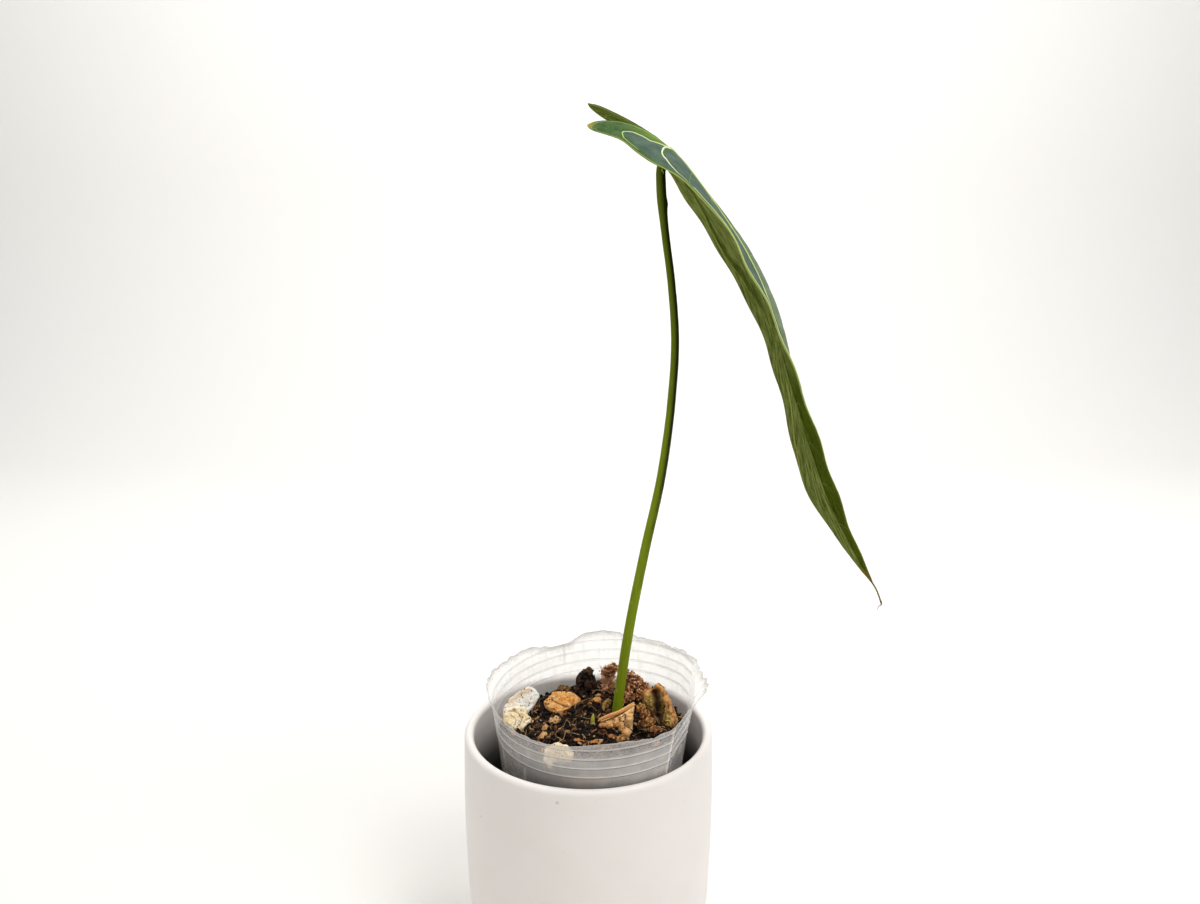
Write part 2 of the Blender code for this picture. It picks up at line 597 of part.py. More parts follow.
def clear_of_wall(x, y, margin):
    """True where a crumb or fibre of this reach stays inside the cup."""
    centre = cup_centre(CLEAR_LEVEL)
    wall = mix_side(math.atan2(y - centre.y, x - centre.x), CLEAR_LEVEL)
    return math.hypot(x - centre.x, y - centre.y) + margin < math.hypot(wall.x - centre.x, wall.y - centre.y)


def standing_spots():
    """Where the pieces that stand in the mix are, as (x, y, reach)."""
    spots = []
    for chip in CHIPS:
        spots.append((chip.centre[0], chip.centre[1], max(max(abs(x), abs(y)) for x, y in chip.outline)))
    middle = len(CURL_LIP) // 2 - 1
    spots.append((CURL_EDGE[middle][0], CURL_LIP[middle][1], 9.5))
    spots.append((COIR_CENTRE[0], COIR_CENTRE[1], COIR_SEAT[1][1]))
    spots.append((PETIOLE_PATH[1][0], PETIOLE_PATH[1][1], 3.5))
    spots.append((SHOOT_BASE[0], SHOOT_BASE[1], 2.5))
    return spots


def free_spot(x, y, margin):
    """True where a crumb or fibre meets neither the wall nor a piece that stands in the mix."""
    for spot_x, spot_y, reach in standing_spots():
        if math.hypot(x - spot_x, y - spot_y) < reach + margin + 2 * GAP:
            return False
    return clear_of_wall(x, y, margin)


def scatter_on_mix(mat):
    """Crumbs and fibres that grow out of the mix's top, placed by a seeded draw."""
    rng = random.Random(7)
    crumbs = []
    while len(crumbs) < CRUMB_COUNT:
        x = rng.uniform(*CRUMB_X)
        y = rng.uniform(*CRUMB_Y)
        size = rng.uniform(*CRUMB_SIZE)
        seed = rng.randint(0, 9999)
        if free_spot(x, y, size * CRUMB_CORNERS[1]):
            crumbs.append(crumb("crumb", (x, y, mix_height(x, y) + 0.15 * size), size, seed, mat))
    fibres = []
    while len(fibres) < FIBRE_COUNT:
        x = rng.uniform(*FIBRE_X)
        y = rng.uniform(*FIBRE_Y)
        heading = rng.uniform(0, 2 * math.pi)
        length = rng.uniform(*FIBRE_LENGTH)
        rise = rng.uniform(*FIBRE_RISE)
        path = fibre_path(x, y, heading, length, rise, rng.randint(0, 9999))
        if all(free_spot(p.x, p.y, 1.0) for p in path):
            points, faces = skin(tube_rings(path, [FIBRE_RADIUS] * len(path), 4))
            fibres.append(add_object("fibre", points, faces, mat))
    return crumbs + fibres


def make_chip(name, chip):
    """A broken piece with an uneven outline, rounded at its edge, and dished where it is hollow."""
    rings = []
    for depth, share in CHIP_LAYERS:
        rings.append([Vector((x * share, y * share, depth * chip.thickness)) for x, y in chip.outline])
    points, faces = skin(rings)
    points = [Vector(p) for p in points]
    points[-1].z -= chip.dish
    turn = Euler((math.radians(chip.tilt), 0.0, math.radians(chip.turn))).to_matrix()
    placed = [Vector(chip.centre) + turn @ p for p in points]
    return add_object(name, placed, faces, material(name, chip.colour, 0.85))


def make_curl(name):
    """A strip of bark bent over along its lip, with an uneven face that hangs down in front."""
    rings = []
    for lip, edge in zip(map(Vector, CURL_LIP), map(Vector, CURL_EDGE)):
        outward = Vector(CURL_RUN).cross(edge - lip).normalized()
        if outward.z < 0:
            outward = -outward
        inner = lip - outward * CURL_THICKNESS - UP * GAP
        low = edge - outward * CURL_THICKNESS * 0.7
        face = lip.lerp(edge, 0.5) + outward * CURL_FACE_BULGE
        rings.append([lip + Vector(CURL_LIP_BACK), lip + Vector(CURL_LIP_CROWN),
                      lip + outward * CURL_LIP_BULGE, face, edge, low, low.lerp(inner, 0.5), inner])
    points, faces = skin(rings)
    return add_object(name, points, faces, material(name, CURL_COLOUR, 0.85))


def make_coir_core(name, mat):
    return crumb(name, COIR_CENTRE, COIR_LUMPS[0][1], COIR_LUMP_SEED, mat)


def coir_fibre_path(heading, lean, length):
    """A fibre from the tuft's centre that leans out more and more towards its tip."""
    path = []
    for i in range(COIR_FIBRE_STEPS + 1):
        t = i / COIR_FIBRE_STEPS
        out = length * math.sin(1.5 * lean * t) * COIR_SPREAD
        rise = length * t * math.cos(0.6 * lean)
        path.append(Vector(COIR_CENTRE) + Vector((out * math.cos(heading), out * math.sin(heading), rise)))
    return path


def make_coir():
    """A tuft of coir: a lumpy core with bent fibres fused into it."""
    mat = material("coir", COIR_COLOUR, 0.9)
    core = make_coir_core("coir_clump", mat)
    pieces = []
    for k, (offset, size) in enumerate(COIR_LUMPS[1:]):
        centre = Vector(COIR_CENTRE) + Vector(offset)
        pieces.append(crumb("lump", centre, size, COIR_LUMP_SEED + 9 + k, mat))
    rng = random.Random(22)
    for turn in turn_angles(COIR_FIBRES):
        heading = turn + rng.uniform(-0.3, 0.3)
        lean = rng.uniform(*COIR_LEAN)
        path = coir_fibre_path(heading, lean, COIR_HEIGHT * rng.uniform(*COIR_LENGTH_SHARE))
        radii = [COIR_FIBRE_RADIUS * (1 - COIR_FIBRE_TAPER * i / COIR_FIBRE_STEPS) for i in range(len(path))]
        points, faces = skin(tube_rings(path, radii, 3))
        pieces.append(add_object("tuft", points, faces, mat))
    combine(core, pieces, "UNION")
    keep_largest_body(core)


def make_coir_seats():
    """The hollow in the mix for the coir tuft: a close seat for its core, open wide above it."""
    mat = material("seat", (0.0, 0.0, 0.0), 1.0)
    core = make_coir_core("coir_core_seat", mat)
    swell(core, SOCKET_GROWTH)
    rings = []
    for height, radius in COIR_SEAT:
        middle = Vector(COIR_CENTRE) + UP * height
        rings.append([middle + Vector((radius * math.cos(a), radius * math.sin(a), 0.0))
                      for a in turn_angles(10)])
    points, faces = skin(rings)
    return [core, add_object("coir_tuft_seat", points, faces, mat)]


def petiole_curve():
    """Centre line and radii of the petiole up to its top joint."""
    lines = [[(station[2], station[i]) for station in PETIOLE_PATH] for i in (0, 1, 3)]
    path = []
    radii = []
    for z in np.linspace(PETIOLE_PATH[0][2], PETIOLE_PATH[-1][2], PETIOLE_STEPS):
        x, y, thick = (float(through(line, z)) for line in lines)
        path.append(Vector((x, y, z)))
        radii.append(thick / 2)
    return path, radii


def make_petiole():
    path, radii = petiole_curve()
    node, _, _, under = blade_frame(0.0)
    under = Vector(under)
    seat = Vector(node) + under * (BLADE_THICKNESS / 2 + PETIOLE_TOP_GAP)
    rings = tube_rings(path, radii, PETIOLE_SIDES)
    # The top bends over to meet the blade: its last rings turn until they lie along the underside
    for share in (0.5, 1.0):
        middle = path[-1].lerp(seat, share) + Vector(PETIOLE_TOP_BEND) * (4 * share * (1 - share))
        up = UP.lerp(-under, share).normalized()
        other = up.cross(FAR_SIDE).normalized()
        radius = radii[-1] * (1.0 - PETIOLE_TOP_TAPER * share)
        rings.append([middle + radius * (math.cos(a) * FAR_SIDE + math.sin(a) * other)
                      for a in turn_angles(PETIOLE_SIDES)])
    points, faces = skin(rings)
    return add_object("petiole", points, faces, material("petiole_green", PETIOLE_COLOUR, 0.4))


def make_petiole_hole():
    path, radii = petiole_curve()
    count = sum(p.z < PETIOLE_HOLE_TOP for p in path)
    base = path[0] - (path[1] - path[0]).normalized() * GAP
    rings = tube_rings([base] + path[1:count], [r + GAP for r in radii[:count]], PETIOLE_SIDES)
    points, faces = skin(rings)
    return add_object("petiole_hole", points, faces, material("hole", (0.0, 0.0, 0.0), 1.0))


def make_shoot(name, growth=0.0):
    """The pointed tip of a new shoot, or its hole where it is grown all round."""
    along = (Vector(SHOOT_TIP) - Vector(SHOOT_BASE)).normalized()
    base = Vector(SHOOT_BASE) - along * growth
    tip = Vector(SHOOT_TIP) + along * growth
    path = [base.lerp(tip, share) for share, _ in SHOOT_STATIONS]
    radii = [SHOOT_RADIUS * size + growth for _, size in SHOOT_STATIONS]
    points, faces = skin(tube_rings(path, radii, SHOOT_SIDES))
    return add_object(name, points, faces, material(name, SHOOT_COLOUR, 0.4))


def guide_table():
    """The midrib's line in space, from its slope: it runs on behind the node to carry the lobes."""
    u = np.arange(GUIDE_START, GUIDE_END, GUIDE_STEP)
    slope = np.radians(through(SLOPE, u))
    dx = np.cos(slope)
    dz = -np.sin(slope)
    x = np.concatenate([[0.0], np.cumsum((dx[1:] + dx[:-1]) / 2 * GUIDE_STEP)])
    z = np.concatenate([[0.0], np.cumsum((dz[1:] + dz[:-1]) / 2 * GUIDE_STEP)])
    x += LEAF_NODE[0] - np.interp(0.0, u, x)
    z += LEAF_NODE[2] - np.interp(0.0, u, z)
    y = LEAF_NODE[1] + LEAF_SWAY * u / LEAF_LENGTH
    return u, x, y, z


GUIDE = guide_table()


def guide_point(u):
    return np.array([np.interp(u, GUIDE[0], GUIDE[i]) for i in (1, 2, 3)])


def blade_frame(u):
    """Point on the guide, with the directions along it, away to the far side, and to the underside."""
    along = guide_point(u + GUIDE_STEP) - guide_point(u - GUIDE_STEP)
    along /= np.linalg.norm(along)
    away = np.array(FAR_SIDE)
    away -= along * away.dot(along)
    away /= np.linalg.norm(away)
    under = np.cross(along, away)
    if under[2] > 0:
        under = -under
    return guide_point(u), along, away, under


def half_width(u, side):
    """Width of half the blade: a rounded lobe, then a long taper to the tip."""
    if u < LEAF_WIDEST:
        length, offset, roundness = NEAR_LOBE if side < 0 else FAR_LOBE
        reach = min((LEAF_WIDEST - u) / (LEAF_WIDEST + length), 1.0)
        return offset + (LEAF_HALF_WIDTH - offset) * (1 - reach**roundness)**(1 / roundness)
    t = min((u - LEAF_WIDEST) / (LEAF_LENGTH - LEAF_WIDEST), 1.0)
    return max(LEAF_HALF_WIDTH * (1 - t**LEAF_TAPER[0])**LEAF_TAPER[1], LEAF_TIP_HALF_WIDTH)


def vein_start(a):
    """Where vein number a leaves the midrib. The basal veins all leave at the node."""
    t = max((a - BASAL_VEINS) / MIDRIB_VEINS, 0.0)
    return LEAF_LENGTH * ((1 - VEIN_CROWDING) * t + VEIN_CROWDING * t**2)


def vein_end(a, side):
    """Where vein number a meets the margin, along u."""
    if a <= BASAL_VEINS:
        length = (NEAR_LOBE if side < 0 else FAR_LOBE)[0]
        return -length + (length - 1.0) * (a / BASAL_VEINS)**LOBE_VEIN_SPACING
    t = (a - BASAL_VEINS) / MIDRIB_VEINS
    sweep = VEIN_SWEEP * math.sin(math.pi * min(t * 1.15, 1.0))**0.7
    return min(vein_start(a) - (1 - t) + sweep * (1 - t**3), LEAF_LENGTH)


def flat_point(a, b, side):
    """Place (u, v) in the flat blade of the point at share b along vein a, which curves forwards."""
    start = vein_start(a)
    end_u = vein_end(a, side)
    end_v = half_width(end_u, side)
    turn = min(a / BASAL_VEINS, 1.0)
    heading = math.radians(between(VEIN_HEADING, turn**VEIN_HEADING_TURN))
    lead = between(VEIN_LEAD, turn) * math.hypot(end_u - start, end_v)
    middle_u = start + lead * math.cos(heading)
    middle_v = lead * math.sin(heading)
    u = (1 - b)**2 * start + 2 * b * (1 - b) * middle_u + b**2 * end_u
    v = 2 * b * (1 - b) * middle_v + b**2 * end_v
    return u, v


def blade_point(u, v, side):
    """Place in space of a flat point, with its normal. Side is -1 for the near half, +1 for the far."""
    base, _, away, under = blade_frame(u)
    droop = float(through(NEAR_DROOP if side < 0 else FAR_DROOP, u))
    arch = float(through(NEAR_ARCH if side < 0 else FAR_ARCH, u))
    bend = 2 * math.radians(arch) / half_width(min(u, LEAF_LENGTH), side)
    if abs(bend) < STRAIGHT:
        bend = STRAIGHT
    first = math.radians(droop - arch)
    last = first + bend * v
    across = (math.sin(last) - math.sin(first)) / bend
    down = (math.cos(first) - math.cos(last)) / bend
    up = side * math.sin(last) * away - math.cos(last) * under
    return base + side * across * away + down * under, up


def vein_swell(a, b, u, side):
    """How far the blade swells up between its veins, fading out towards the midrib and the margin."""
    swelling = -math.cos(2 * math.pi * a)
    fade = math.sin(math.pi * min(b / COLLECTIVE_VEIN, 1.0))
    return VEIN_RELIEF * swelling * fade * min(1.0, half_width(u, side) / VEIN_RELIEF_FULL_WIDTH)


def midrib_keel(b, u):
    """How far the midrib stands out from the underside."""
    if b > 0.0:
        return 0.0
    run_in = min(u / MIDRIB_KEEL_RUN_IN, 1.0)
    return MIDRIB_KEEL * run_in * (1.0 - MIDRIB_KEEL_TAPER * u / LEAF_LENGTH)


def blade_faces(side, a, b):
    """The upper and the lower point of the blade at share b along vein a."""
    u, v = flat_point(a, b, side)
    if b == ACROSS[1] and a >= BASAL_VEINS:
        v = min(v, MIDRIB_HALF_WIDTH)
    wave = MARGIN_WAVE * b**3 * math.sin(MARGIN_WAVE_PER_MM * u + MARGIN_WAVE_SHIFT * side)
    wave *= min(1.0, half_width(u, side) / MARGIN_WAVE_FULL_WIDTH)
    point, up = blade_point(u, v, side)
    keel = midrib_keel(b, u)
    middle = point + up * (vein_swell(a, b, u, side) + wave)
    upper = middle + up * (BLADE_THICKNESS / 2 - MIDRIB_GROOVE * min(keel, 1.0))
    lower = middle - up * (BLADE_THICKNESS / 2 + keel)
    return upper, lower


def blade_sheet():
    """Upper and lower points of the blade, and the triangles that both faces share.

    The two halves share the points of the midrib, and the basal veins share the node.
    """
    upper = []
    lower = []
    triangles = []
    midrib = {}
    count = (BASAL_VEINS + MIDRIB_VEINS) * LINES_PER_VEIN
    for side in (-1, 1):
        lines = []
        for i in range(count + 1):
            a = i / LINES_PER_VEIN
            line = []
            for b in ACROSS:
                start = round(vein_start(a), 4)
                if b == 0.0 and start in midrib:
                    line.append(midrib[start])
                    continue
                if b == 0.0:
                    midrib[start] = len(upper)
                line.append(len(upper))
                top, low = blade_faces(side, a, b)
                upper.append(top)
                lower.append(low)
            lines.append(line)
        for line, following in zip(lines[:-1], lines[1:]):
            for j in range(len(ACROSS) - 1):
                corners = [line[j], following[j], following[j + 1], line[j + 1]][::-side]
                ring = [c for k, c in enumerate(corners) if c != corners[k - 1]]
                triangles += [(ring[0], ring[k], ring[k + 1]) for k in range(1, len(ring) - 1)]
    return upper, lower, triangles


def close_sheet(upper, lower, triangles):
    """Points and faces of the solid between two faces that share their triangles."""
    count = len(upper)
    faces = list(triangles) + [(c + count, b + count, a + count) for a, b, c in triangles]
    edges = {(tri[k - 1], tri[k]) for tri in triangles for k in range(3)}
    for a, b in sorted(edges):
        if (b, a) not in edges:
            faces.append((b, a, a + count))
            faces.append((b, a + count, b + count))
    return upper + lower, faces


def make_leaf():
    points, faces = close_sheet(*blade_sheet())
    return add_object("leaf_blade", points, faces, material("leaf_green", LEAF_COLOUR, 0.5), 60.0)


def make_pieces_and_sockets():
    """The loose bark pieces, with slightly larger twins that cut their seats in the mix."""
    sockets = []
    for chip in CHIPS:
        make_chip(chip.name, chip)
        sockets.append(make_chip(chip.name + "_socket", chip))
    make_curl("bark_curl")
    sockets.append(make_curl("bark_curl_socket"))
    for socket in sockets:
        swell(socket, SOCKET_GROWTH)
    return sockets


def main():
    clear_scene()
    make_pot()
    make_cup()
    mix = make_mix()
    combine(mix, scatter_on_mix(mix.data.materials[0]), "UNION")
    sockets = make_pieces_and_sockets()
    make_coir()
    make_shoot("new_shoot")
    sockets += make_coir_seats()
    sockets += [make_petiole_hole(), make_shoot("shoot_hole", GAP)]
    combine(mix, sockets, "DIFFERENCE")
    keep_largest_body(mix)
    make_petiole()
    make_leaf()


main()
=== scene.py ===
"""Looks for the potted anthurium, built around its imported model.

All lengths here are in millimetres and all angles in degrees. The meshes are made in metres.
Colours are written as they look on a screen, from 0 to 255, and turned into linear light.
"""

import math

import bpy
import numpy as np
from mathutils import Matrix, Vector, noise
from mathutils.bvhtree import BVHTree


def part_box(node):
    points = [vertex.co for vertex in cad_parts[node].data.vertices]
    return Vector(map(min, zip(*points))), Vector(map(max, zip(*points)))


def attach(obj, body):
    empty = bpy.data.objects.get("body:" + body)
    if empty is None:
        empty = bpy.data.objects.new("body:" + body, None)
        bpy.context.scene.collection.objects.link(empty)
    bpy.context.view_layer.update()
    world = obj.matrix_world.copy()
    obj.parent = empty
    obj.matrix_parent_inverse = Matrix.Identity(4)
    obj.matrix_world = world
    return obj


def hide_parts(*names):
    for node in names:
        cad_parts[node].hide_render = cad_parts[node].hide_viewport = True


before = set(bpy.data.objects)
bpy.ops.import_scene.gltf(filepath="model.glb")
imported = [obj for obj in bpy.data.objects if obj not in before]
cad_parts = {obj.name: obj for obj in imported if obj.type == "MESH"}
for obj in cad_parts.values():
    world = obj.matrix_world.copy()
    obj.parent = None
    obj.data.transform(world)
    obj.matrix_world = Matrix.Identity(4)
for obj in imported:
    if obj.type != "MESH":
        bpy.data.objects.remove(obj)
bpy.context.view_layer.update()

MM = 0.001
BODY = "root"
SEEDS = {"cup": 5, "crumbs": 11, "fibres": 23, "coir": 31}
UP = Vector((0.0, 0.0, 1.0))
FAR_SIDE = Vector((0.0, 1.0, 0.0))
RAY_HEIGHT = 200.0

# Camera of the photograph
PHOTO_WIDTH = 1200
PHOTO_HEIGHT = 904
CAMERA_PLACE = (4.89, -356.7, 287.8)
CAMERA_DOWN = 10.66
CAMERA_FOCAL_PIXELS = 901.0
SENSOR_WIDTH = 36.0

# Pot: outer wall as (height, radius)
POT_HEIGHT = 102.2
POT_WALL = 4.0
POT_FLOOR = 5.0
POT_FOOT_RADIUS = 43.0
POT_INNER_ROUNDING = 7.0
POT_FOOT_INSET = 1.2
POT_FOOT_LIFT = 0.15
POT_WALL_LINE = [(7.0, 50.2), (24.0, 51.7), (45.0, 52.6), (66.0, 53.0), (84.0, 52.85), (100.0, 52.5)]
POT_SEGMENTS = 180
# Small marks on the pot: place, radius and strength
POT_MARKS = [((-11.1, -51.6, 97.5), 0.9, 0.25), ((-42.3, -31.7, 79.4), 0.35, 0.8)]
# The inside darkens with depth as painted shade: its radius, where that starts below the rim, and over what
# depth
POT_SHADE_RADIUS = 49.5
POT_SHADE_START = 11.0
POT_SHADE_DEPTH = 16.0

# Nursery cup. Levels run along the cup's axis and are 0 at its first ring ridge.
CUP_POT_LEVEL = -23.0
CUP_BASE_LEVEL = -116.0
CUP_RING_CENTRE = (5.3, -5.0, 120.9)
CUP_POT_CENTRE = (4.5, -3.35, 98.0)
CUP_BASE_CENTRE = (4.2, -2.0, 5.3)
CUP_RING_TILT = (3.7, -3.44)
CUP_RADIUS = [(CUP_BASE_LEVEL, 30.0), (-112.0, 31.6), (-60.0, 38.0), (CUP_POT_LEVEL, 42.3), (-14.5, 43.2),
              (0.0, 45.5), (8.0, 48.1)]
CUP_WALL = 0.4
CUP_RINGS = 4
CUP_RING_PITCH = 4.38
CUP_RING_HEIGHT = 0.16
CUP_RING_WIDTH = 0.22
CUP_GROOVE_DROP = 0.5
CUP_GROOVE_WIDTH = 0.13
CUP_SEGMENTS = 384
# Rows from the last ridge up to the torn edge, as shares of that stretch, and where the edge counts as low
CUP_EDGE_ROWS = (0.35, 0.6, 0.8, 0.92, 1.0)
CUP_EDGE_START = 1.6
CUP_EDGE_LOW = 1.9
CUP_EDGE_SPARE = 0.2
FLAT_CORNERS = [(-52.5, 1.0), (-22.5, 0.885), (22.5, 0.97), (34.0, 1.0)]
FLAT_FULL_SHARE = 0.625
FLAT_FADE_ABOVE = 11.5
TORN_RIM = [(0, 4.0), (23, 2.1), (47, 1.4), (68, 2.2), (100, 3.4), (114, -0.4), (127, 2.8), (155, 5.0),
            (188, 6.9), (212, 3.2), (240, 1.1), (256, 2.0), (277, 3.4), (299, 1.9), (317, 4.0), (335, 7.0),
            (360, 4.0)]
TORN_LOWEST = 0.6
# How strongly each mark on the clear plastic shows; ring is a painted highlight, groove painted shade, haze
# painted light
CUP_MARKS = {"ring": 0.45, "groove_shade": 0.22, "crease": 0.4, "tear": 0.5, "painted_light_haze": 0.23}
# Creases in the cup's wall: (angle, level) at its low end, the same at its high end, and its strength
CUP_CREASES = [(-52.5, -40.0, -52.5, 2.0, 1.0), (-22.5, -40.0, -22.5, -2.0, 0.7),
               (-132.9, -30.0, -132.9, -15.0, 0.8), (112.0, -9.0, 112.0, 1.0, 0.4),
               (-52.0, -19.0, -14.0, 3.0, 1.0), (-51.0, -13.5, -27.0, 1.0, 0.8)]
CREASE_WIDTH = 0.65
CREASE_END = 1.5
MIX_CLEARANCE = 0.7
MIX_RINGS = 62
MIX_SIDE_LEVELS = (-18.0, -23.0, -40.0, -60.0, -86.0, -112.0)
MIX_EDGE_LEVEL = -13.0
MIX_CENTRE_LEVEL = -15.0
MIX_LOWEST = 80.0
MIX_EDGE_HEIGHT = 104.0
FIBRE_WALL_GAP = 2.0
# How many of each lie on the mix or grow in the coir
CRUMBS = 3400
CRUMBS_IN_RED_CLUMP = 150
FLAKES = 420
GRAINS = 26
FIBRES = 240
COIR_CRUMBS = 230
COIR_FIBRES = 260
CRUMB_ROUGHNESS = (0.7, 1.2)
CRUMB_SHARP = 35
CRUMB_TONES = ((0.0, 0.3), (0.3, 0.6), (0.6, 1.0))
CRUMB_TONE_SHARES = (0.8, 0.13, 0.07)

# Petiole: centre line (x, y, z) with diameter
PETIOLE_PATH = [(10.6, -2.4, 95.0, 5.2), (12.1, -2.0, 109.0, 4.4), (16.6, -1.7, 143.4, 4.1),
                (22.9, -1.4, 178.0, 3.9), (29.7, -1.1, 211.4, 3.6), (33.5, -0.8, 243.9, 3.3),
                (34.4, -0.6, 265.0, 3.2), (32.6, -0.4, 288.0, 3.1), (29.6, -0.2, 309.5, 3.2),
                (28.4, -0.1, 320.6, 3.8), (28.0, 0.0, 328.0, 3.7)]
PETIOLE_TOP_BEND = (-0.9, 0.0, 0.9)
PETIOLE_SIDES = 28
PETIOLE_STEPS = 150
# A small swelling on its right side: height, size and spread
PETIOLE_BUMP = (317.5, 0.45, 1.6)

# New shoot: stations are (share of its length, share of its radius)
SHOOT_BASE = (3.4, -14.5, 103.4)
SHOOT_TIP = (2.2, -14.0, 114.3)
SHOOT_RADIUS = 1.0
SHOOT_STATIONS = [(0.0, 0.9), (0.3, 1.0), (0.6, 0.95), (0.82, 0.72), (0.94, 0.4), (1.0, 0.12)]
SHOOT_BEND = 0.9
SHOOT_SIDES = 12

# Leaf blade, laid out flat: u runs from the petiole's node to the tip, v from the midrib outwards
LEAF_NODE = (31.8, 0.0, 337.1)
LEAF_LENGTH = 200.6
LEAF_HALF_WIDTH = 39.0
LEAF_WIDEST = 25.0
LEAF_TIP_HALF_WIDTH = 0.45
LEAF_TAPER = (1.55, 1.15)
TAIL_SHOULDER = (187.5, 192.0)
# The lobes behind the node as (length, distance of the lobe's tip from the midrib, roundness)
NEAR_LOBE = (31.5, 14.0, 1.4)
FAR_LOBE = (37.0, 8.0, 1.6)
BLADE_THICKNESS = 0.7
MIDRIB_KEEL = 1.3
MIDRIB_KEEL_WIDTH = 0.95
MIDRIB_KEEL_RUN_IN = 10.0
MIDRIB_KEEL_TAPER = 0.8
MARGIN_WAVE = 0.45
MARGIN_WAVE_PER_MM = 0.23
MARGIN_WAVE_SHIFT = 1.3
MARGIN_WAVE_FULL_WIDTH = 15.0
BASAL_VEINS = 3
MIDRIB_VEINS = 13
VEIN_RELIEF = 0.25
VEIN_RELIEF_WIDTH = 1.6
VEIN_RELIEF_FULL_WIDTH = 12.0
VEIN_CROWDING = 0.28
VEIN_SWEEP = 14.5
LOBE_VEIN_SPACING = 1.7
VEIN_HEADING = (167.0, 84.0)
VEIN_HEADING_TURN = 0.75
VEIN_LEAD = (0.86, 0.5)
COLLECTIVE_VEIN = 0.9
SLOPE = [(-38, 27), (-18, 31), (-9, 36), (0, 42), (10, 50), (25, 53), (40, 56), (58, 64), (75, 70),
         (100, 72), (140, 69.5), (172, 61), (186, 60), (191, 54.5), (195, 65), (200, 73.5)]
NEAR_DROOP = [(-36, 60), (-27, 38), (-18, 28), (-9, 25), (0, 21), (25, 11), (55, 11.5), (85, 8), (120, 2),
              (150, -5), (180, -7), (200, -12)]
FAR_DROOP = [(-38, 8), (-18, 4), (0, 3), (25, 5), (55, 7), (90, 3.5), (120, 8), (150, 24), (180, 20),
             (200, 0)]
NEAR_ARCH = [(-36, -8), (-27, -9), (-18, 2), (-9, 15), (0, 12), (12, 4), (25, 0.5), (55, 0.5), (90, 2),
             (120, 4), (150, 4), (200, 2)]
FAR_ARCH = [(-38, 6), (-18, 7), (0, 9), (25, 21), (55, 36), (75, 40), (95, 32), (120, 14), (150, 8),
            (200, 3)]
STRAIGHT = 1e-6
LEAF_SWAY = -6.0
GUIDE_STEP = 0.5
GUIDE_START = -40.0
GUIDE_END = 206.0
# Lines between two veins, and rows from the midrib to the margin, as shares
FINE_LINES = (0.0, 0.03, 0.08, 0.16, 0.27, 0.4, 0.5, 0.6, 0.73, 0.84, 0.92, 0.97)
FINE_ROWS = 44
# Where the blade's green outer zone begins, and where each half's marginal vein runs, as shares of the
# half's width at places along u
GREEN_ZONE = [(-31, 0), (-26, 0.35), (-20, 0.62), (-17, 0.74), (-10, 0.82), (0, 0.88), (16, 0.93),
              (200, 0.97)]
NEAR_MARGINAL = [(18, 0.925), (27, 0.935), (33, 0.955), (40, 0.985), (60, 0.96), (100, 0.95), (176, 0.95)]
FAR_MARGINAL = [(18, 0.78), (32, 0.91), (45, 0.94), (55, 0.91), (80, 0.8), (107, 0.71), (115, 0.73),
                (127, 0.81), (143, 0.95), (176, 0.95)]
FAR_MARGINAL_TONE = [(18, 0.7), (60, 0.6), (100, 0.3), (106, 0.9), (140, 0.75), (150, 0.2), (176, 0.1)]
# Basal veins in the flat blade: each runs out into the lobe and bends back along the margin
LOBE_VEIN = [(0, 0.6), (-5, 5.3), (-7, 7.7), (-11, 8.5), (-16.5, 7.6), (-21, 7.2), (-26, 9.5), (-29, 13),
             (-29.5, 16), (-27, 19.5)]
HAIRPIN_RUN = [(-0.6, 5), (-2, 11.5), (-4.5, 15), (-7, 16.4), (-11, 16.9), (-15, 15.9), (-17, 16.6)]
HAIRPIN_VEIN = [(0, 0.8), *HAIRPIN_RUN, (-17.6, 18.9), (-16.5, 22.2), (-14.5, 25), (-12, 26.6), (-8, 28.4)]
# Inside of the hairpin vein, where the sinus is greener
HAIRPIN_ARM = [(-22, 30), (-19, 20), *HAIRPIN_RUN[::-1], (0, 0)]
FIRST_LATERAL = [(0, 0.8), (-0.6, 7), (-1.5, 14), (-1, 19), (0, 21.8), (1.5, 23.9), (3.5, 26.1), (6.5, 29.2),
                 (10, 31.9), (12.5, 32.6), (15, 33.6), (19, 34.5)]
VEIN_SEARCH = 2.4
# Where the marginal vein starts and ends along u, and its points
MARGINAL_RUN = (18.0, 176.0, 110)
VEIN_SIDES = 6
ON_MIDRIB = 0.01


def linear(screen):
    """Linear light, with alpha 1, of a colour given as it looks on a screen."""
    light = [c / 255 / 12.92 if c <= 10 else ((c / 255 + 0.055) / 1.055)**2.4 for c in screen]
    return (*light, 1.0)


def through(stations, x):
    """Smooth curve through (position, value) stations, read at x."""
    pos = np.array([s[0] for s in stations], float)
    val = np.array([s[1] for s in stations], float)
    grad = np.gradient(val, pos)
    x = np.asarray(x, float)
    i = np.clip(np.searchsorted(pos, x) - 1, 0, len(pos) - 2)
    h = pos[i + 1] - pos[i]
    t = np.clip((x - pos[i]) / h, 0.0, 1.0)
    start = (2 * t**3 - 3 * t**2 + 1) * val[i] + (t**3 - 2 * t**2 + t) * h * grad[i]
    end = (3 * t**2 - 2 * t**3) * val[i + 1] + (t**3 - t**2) * h * grad[i + 1]
    return start + end


def smooth_path(points, count):
    """A smooth line of evenly numbered points through a few given ones."""
    points = np.asarray(points, float)
    steps = np.linspace(0, len(points) - 1, count)
    lines = [through(list(enumerate(points[:, i])), steps) for i in range(points.shape[1])]
    return np.stack(lines, axis=1)


def bell(distance, width):
    return np.exp(-(np.asarray(distance) / width)**2)


def rise(x, start, length):
    """0 before a start and 1 a length past it. A negative length counts towards lower x."""
    return np.clip((x - start) / length, 0, 1)


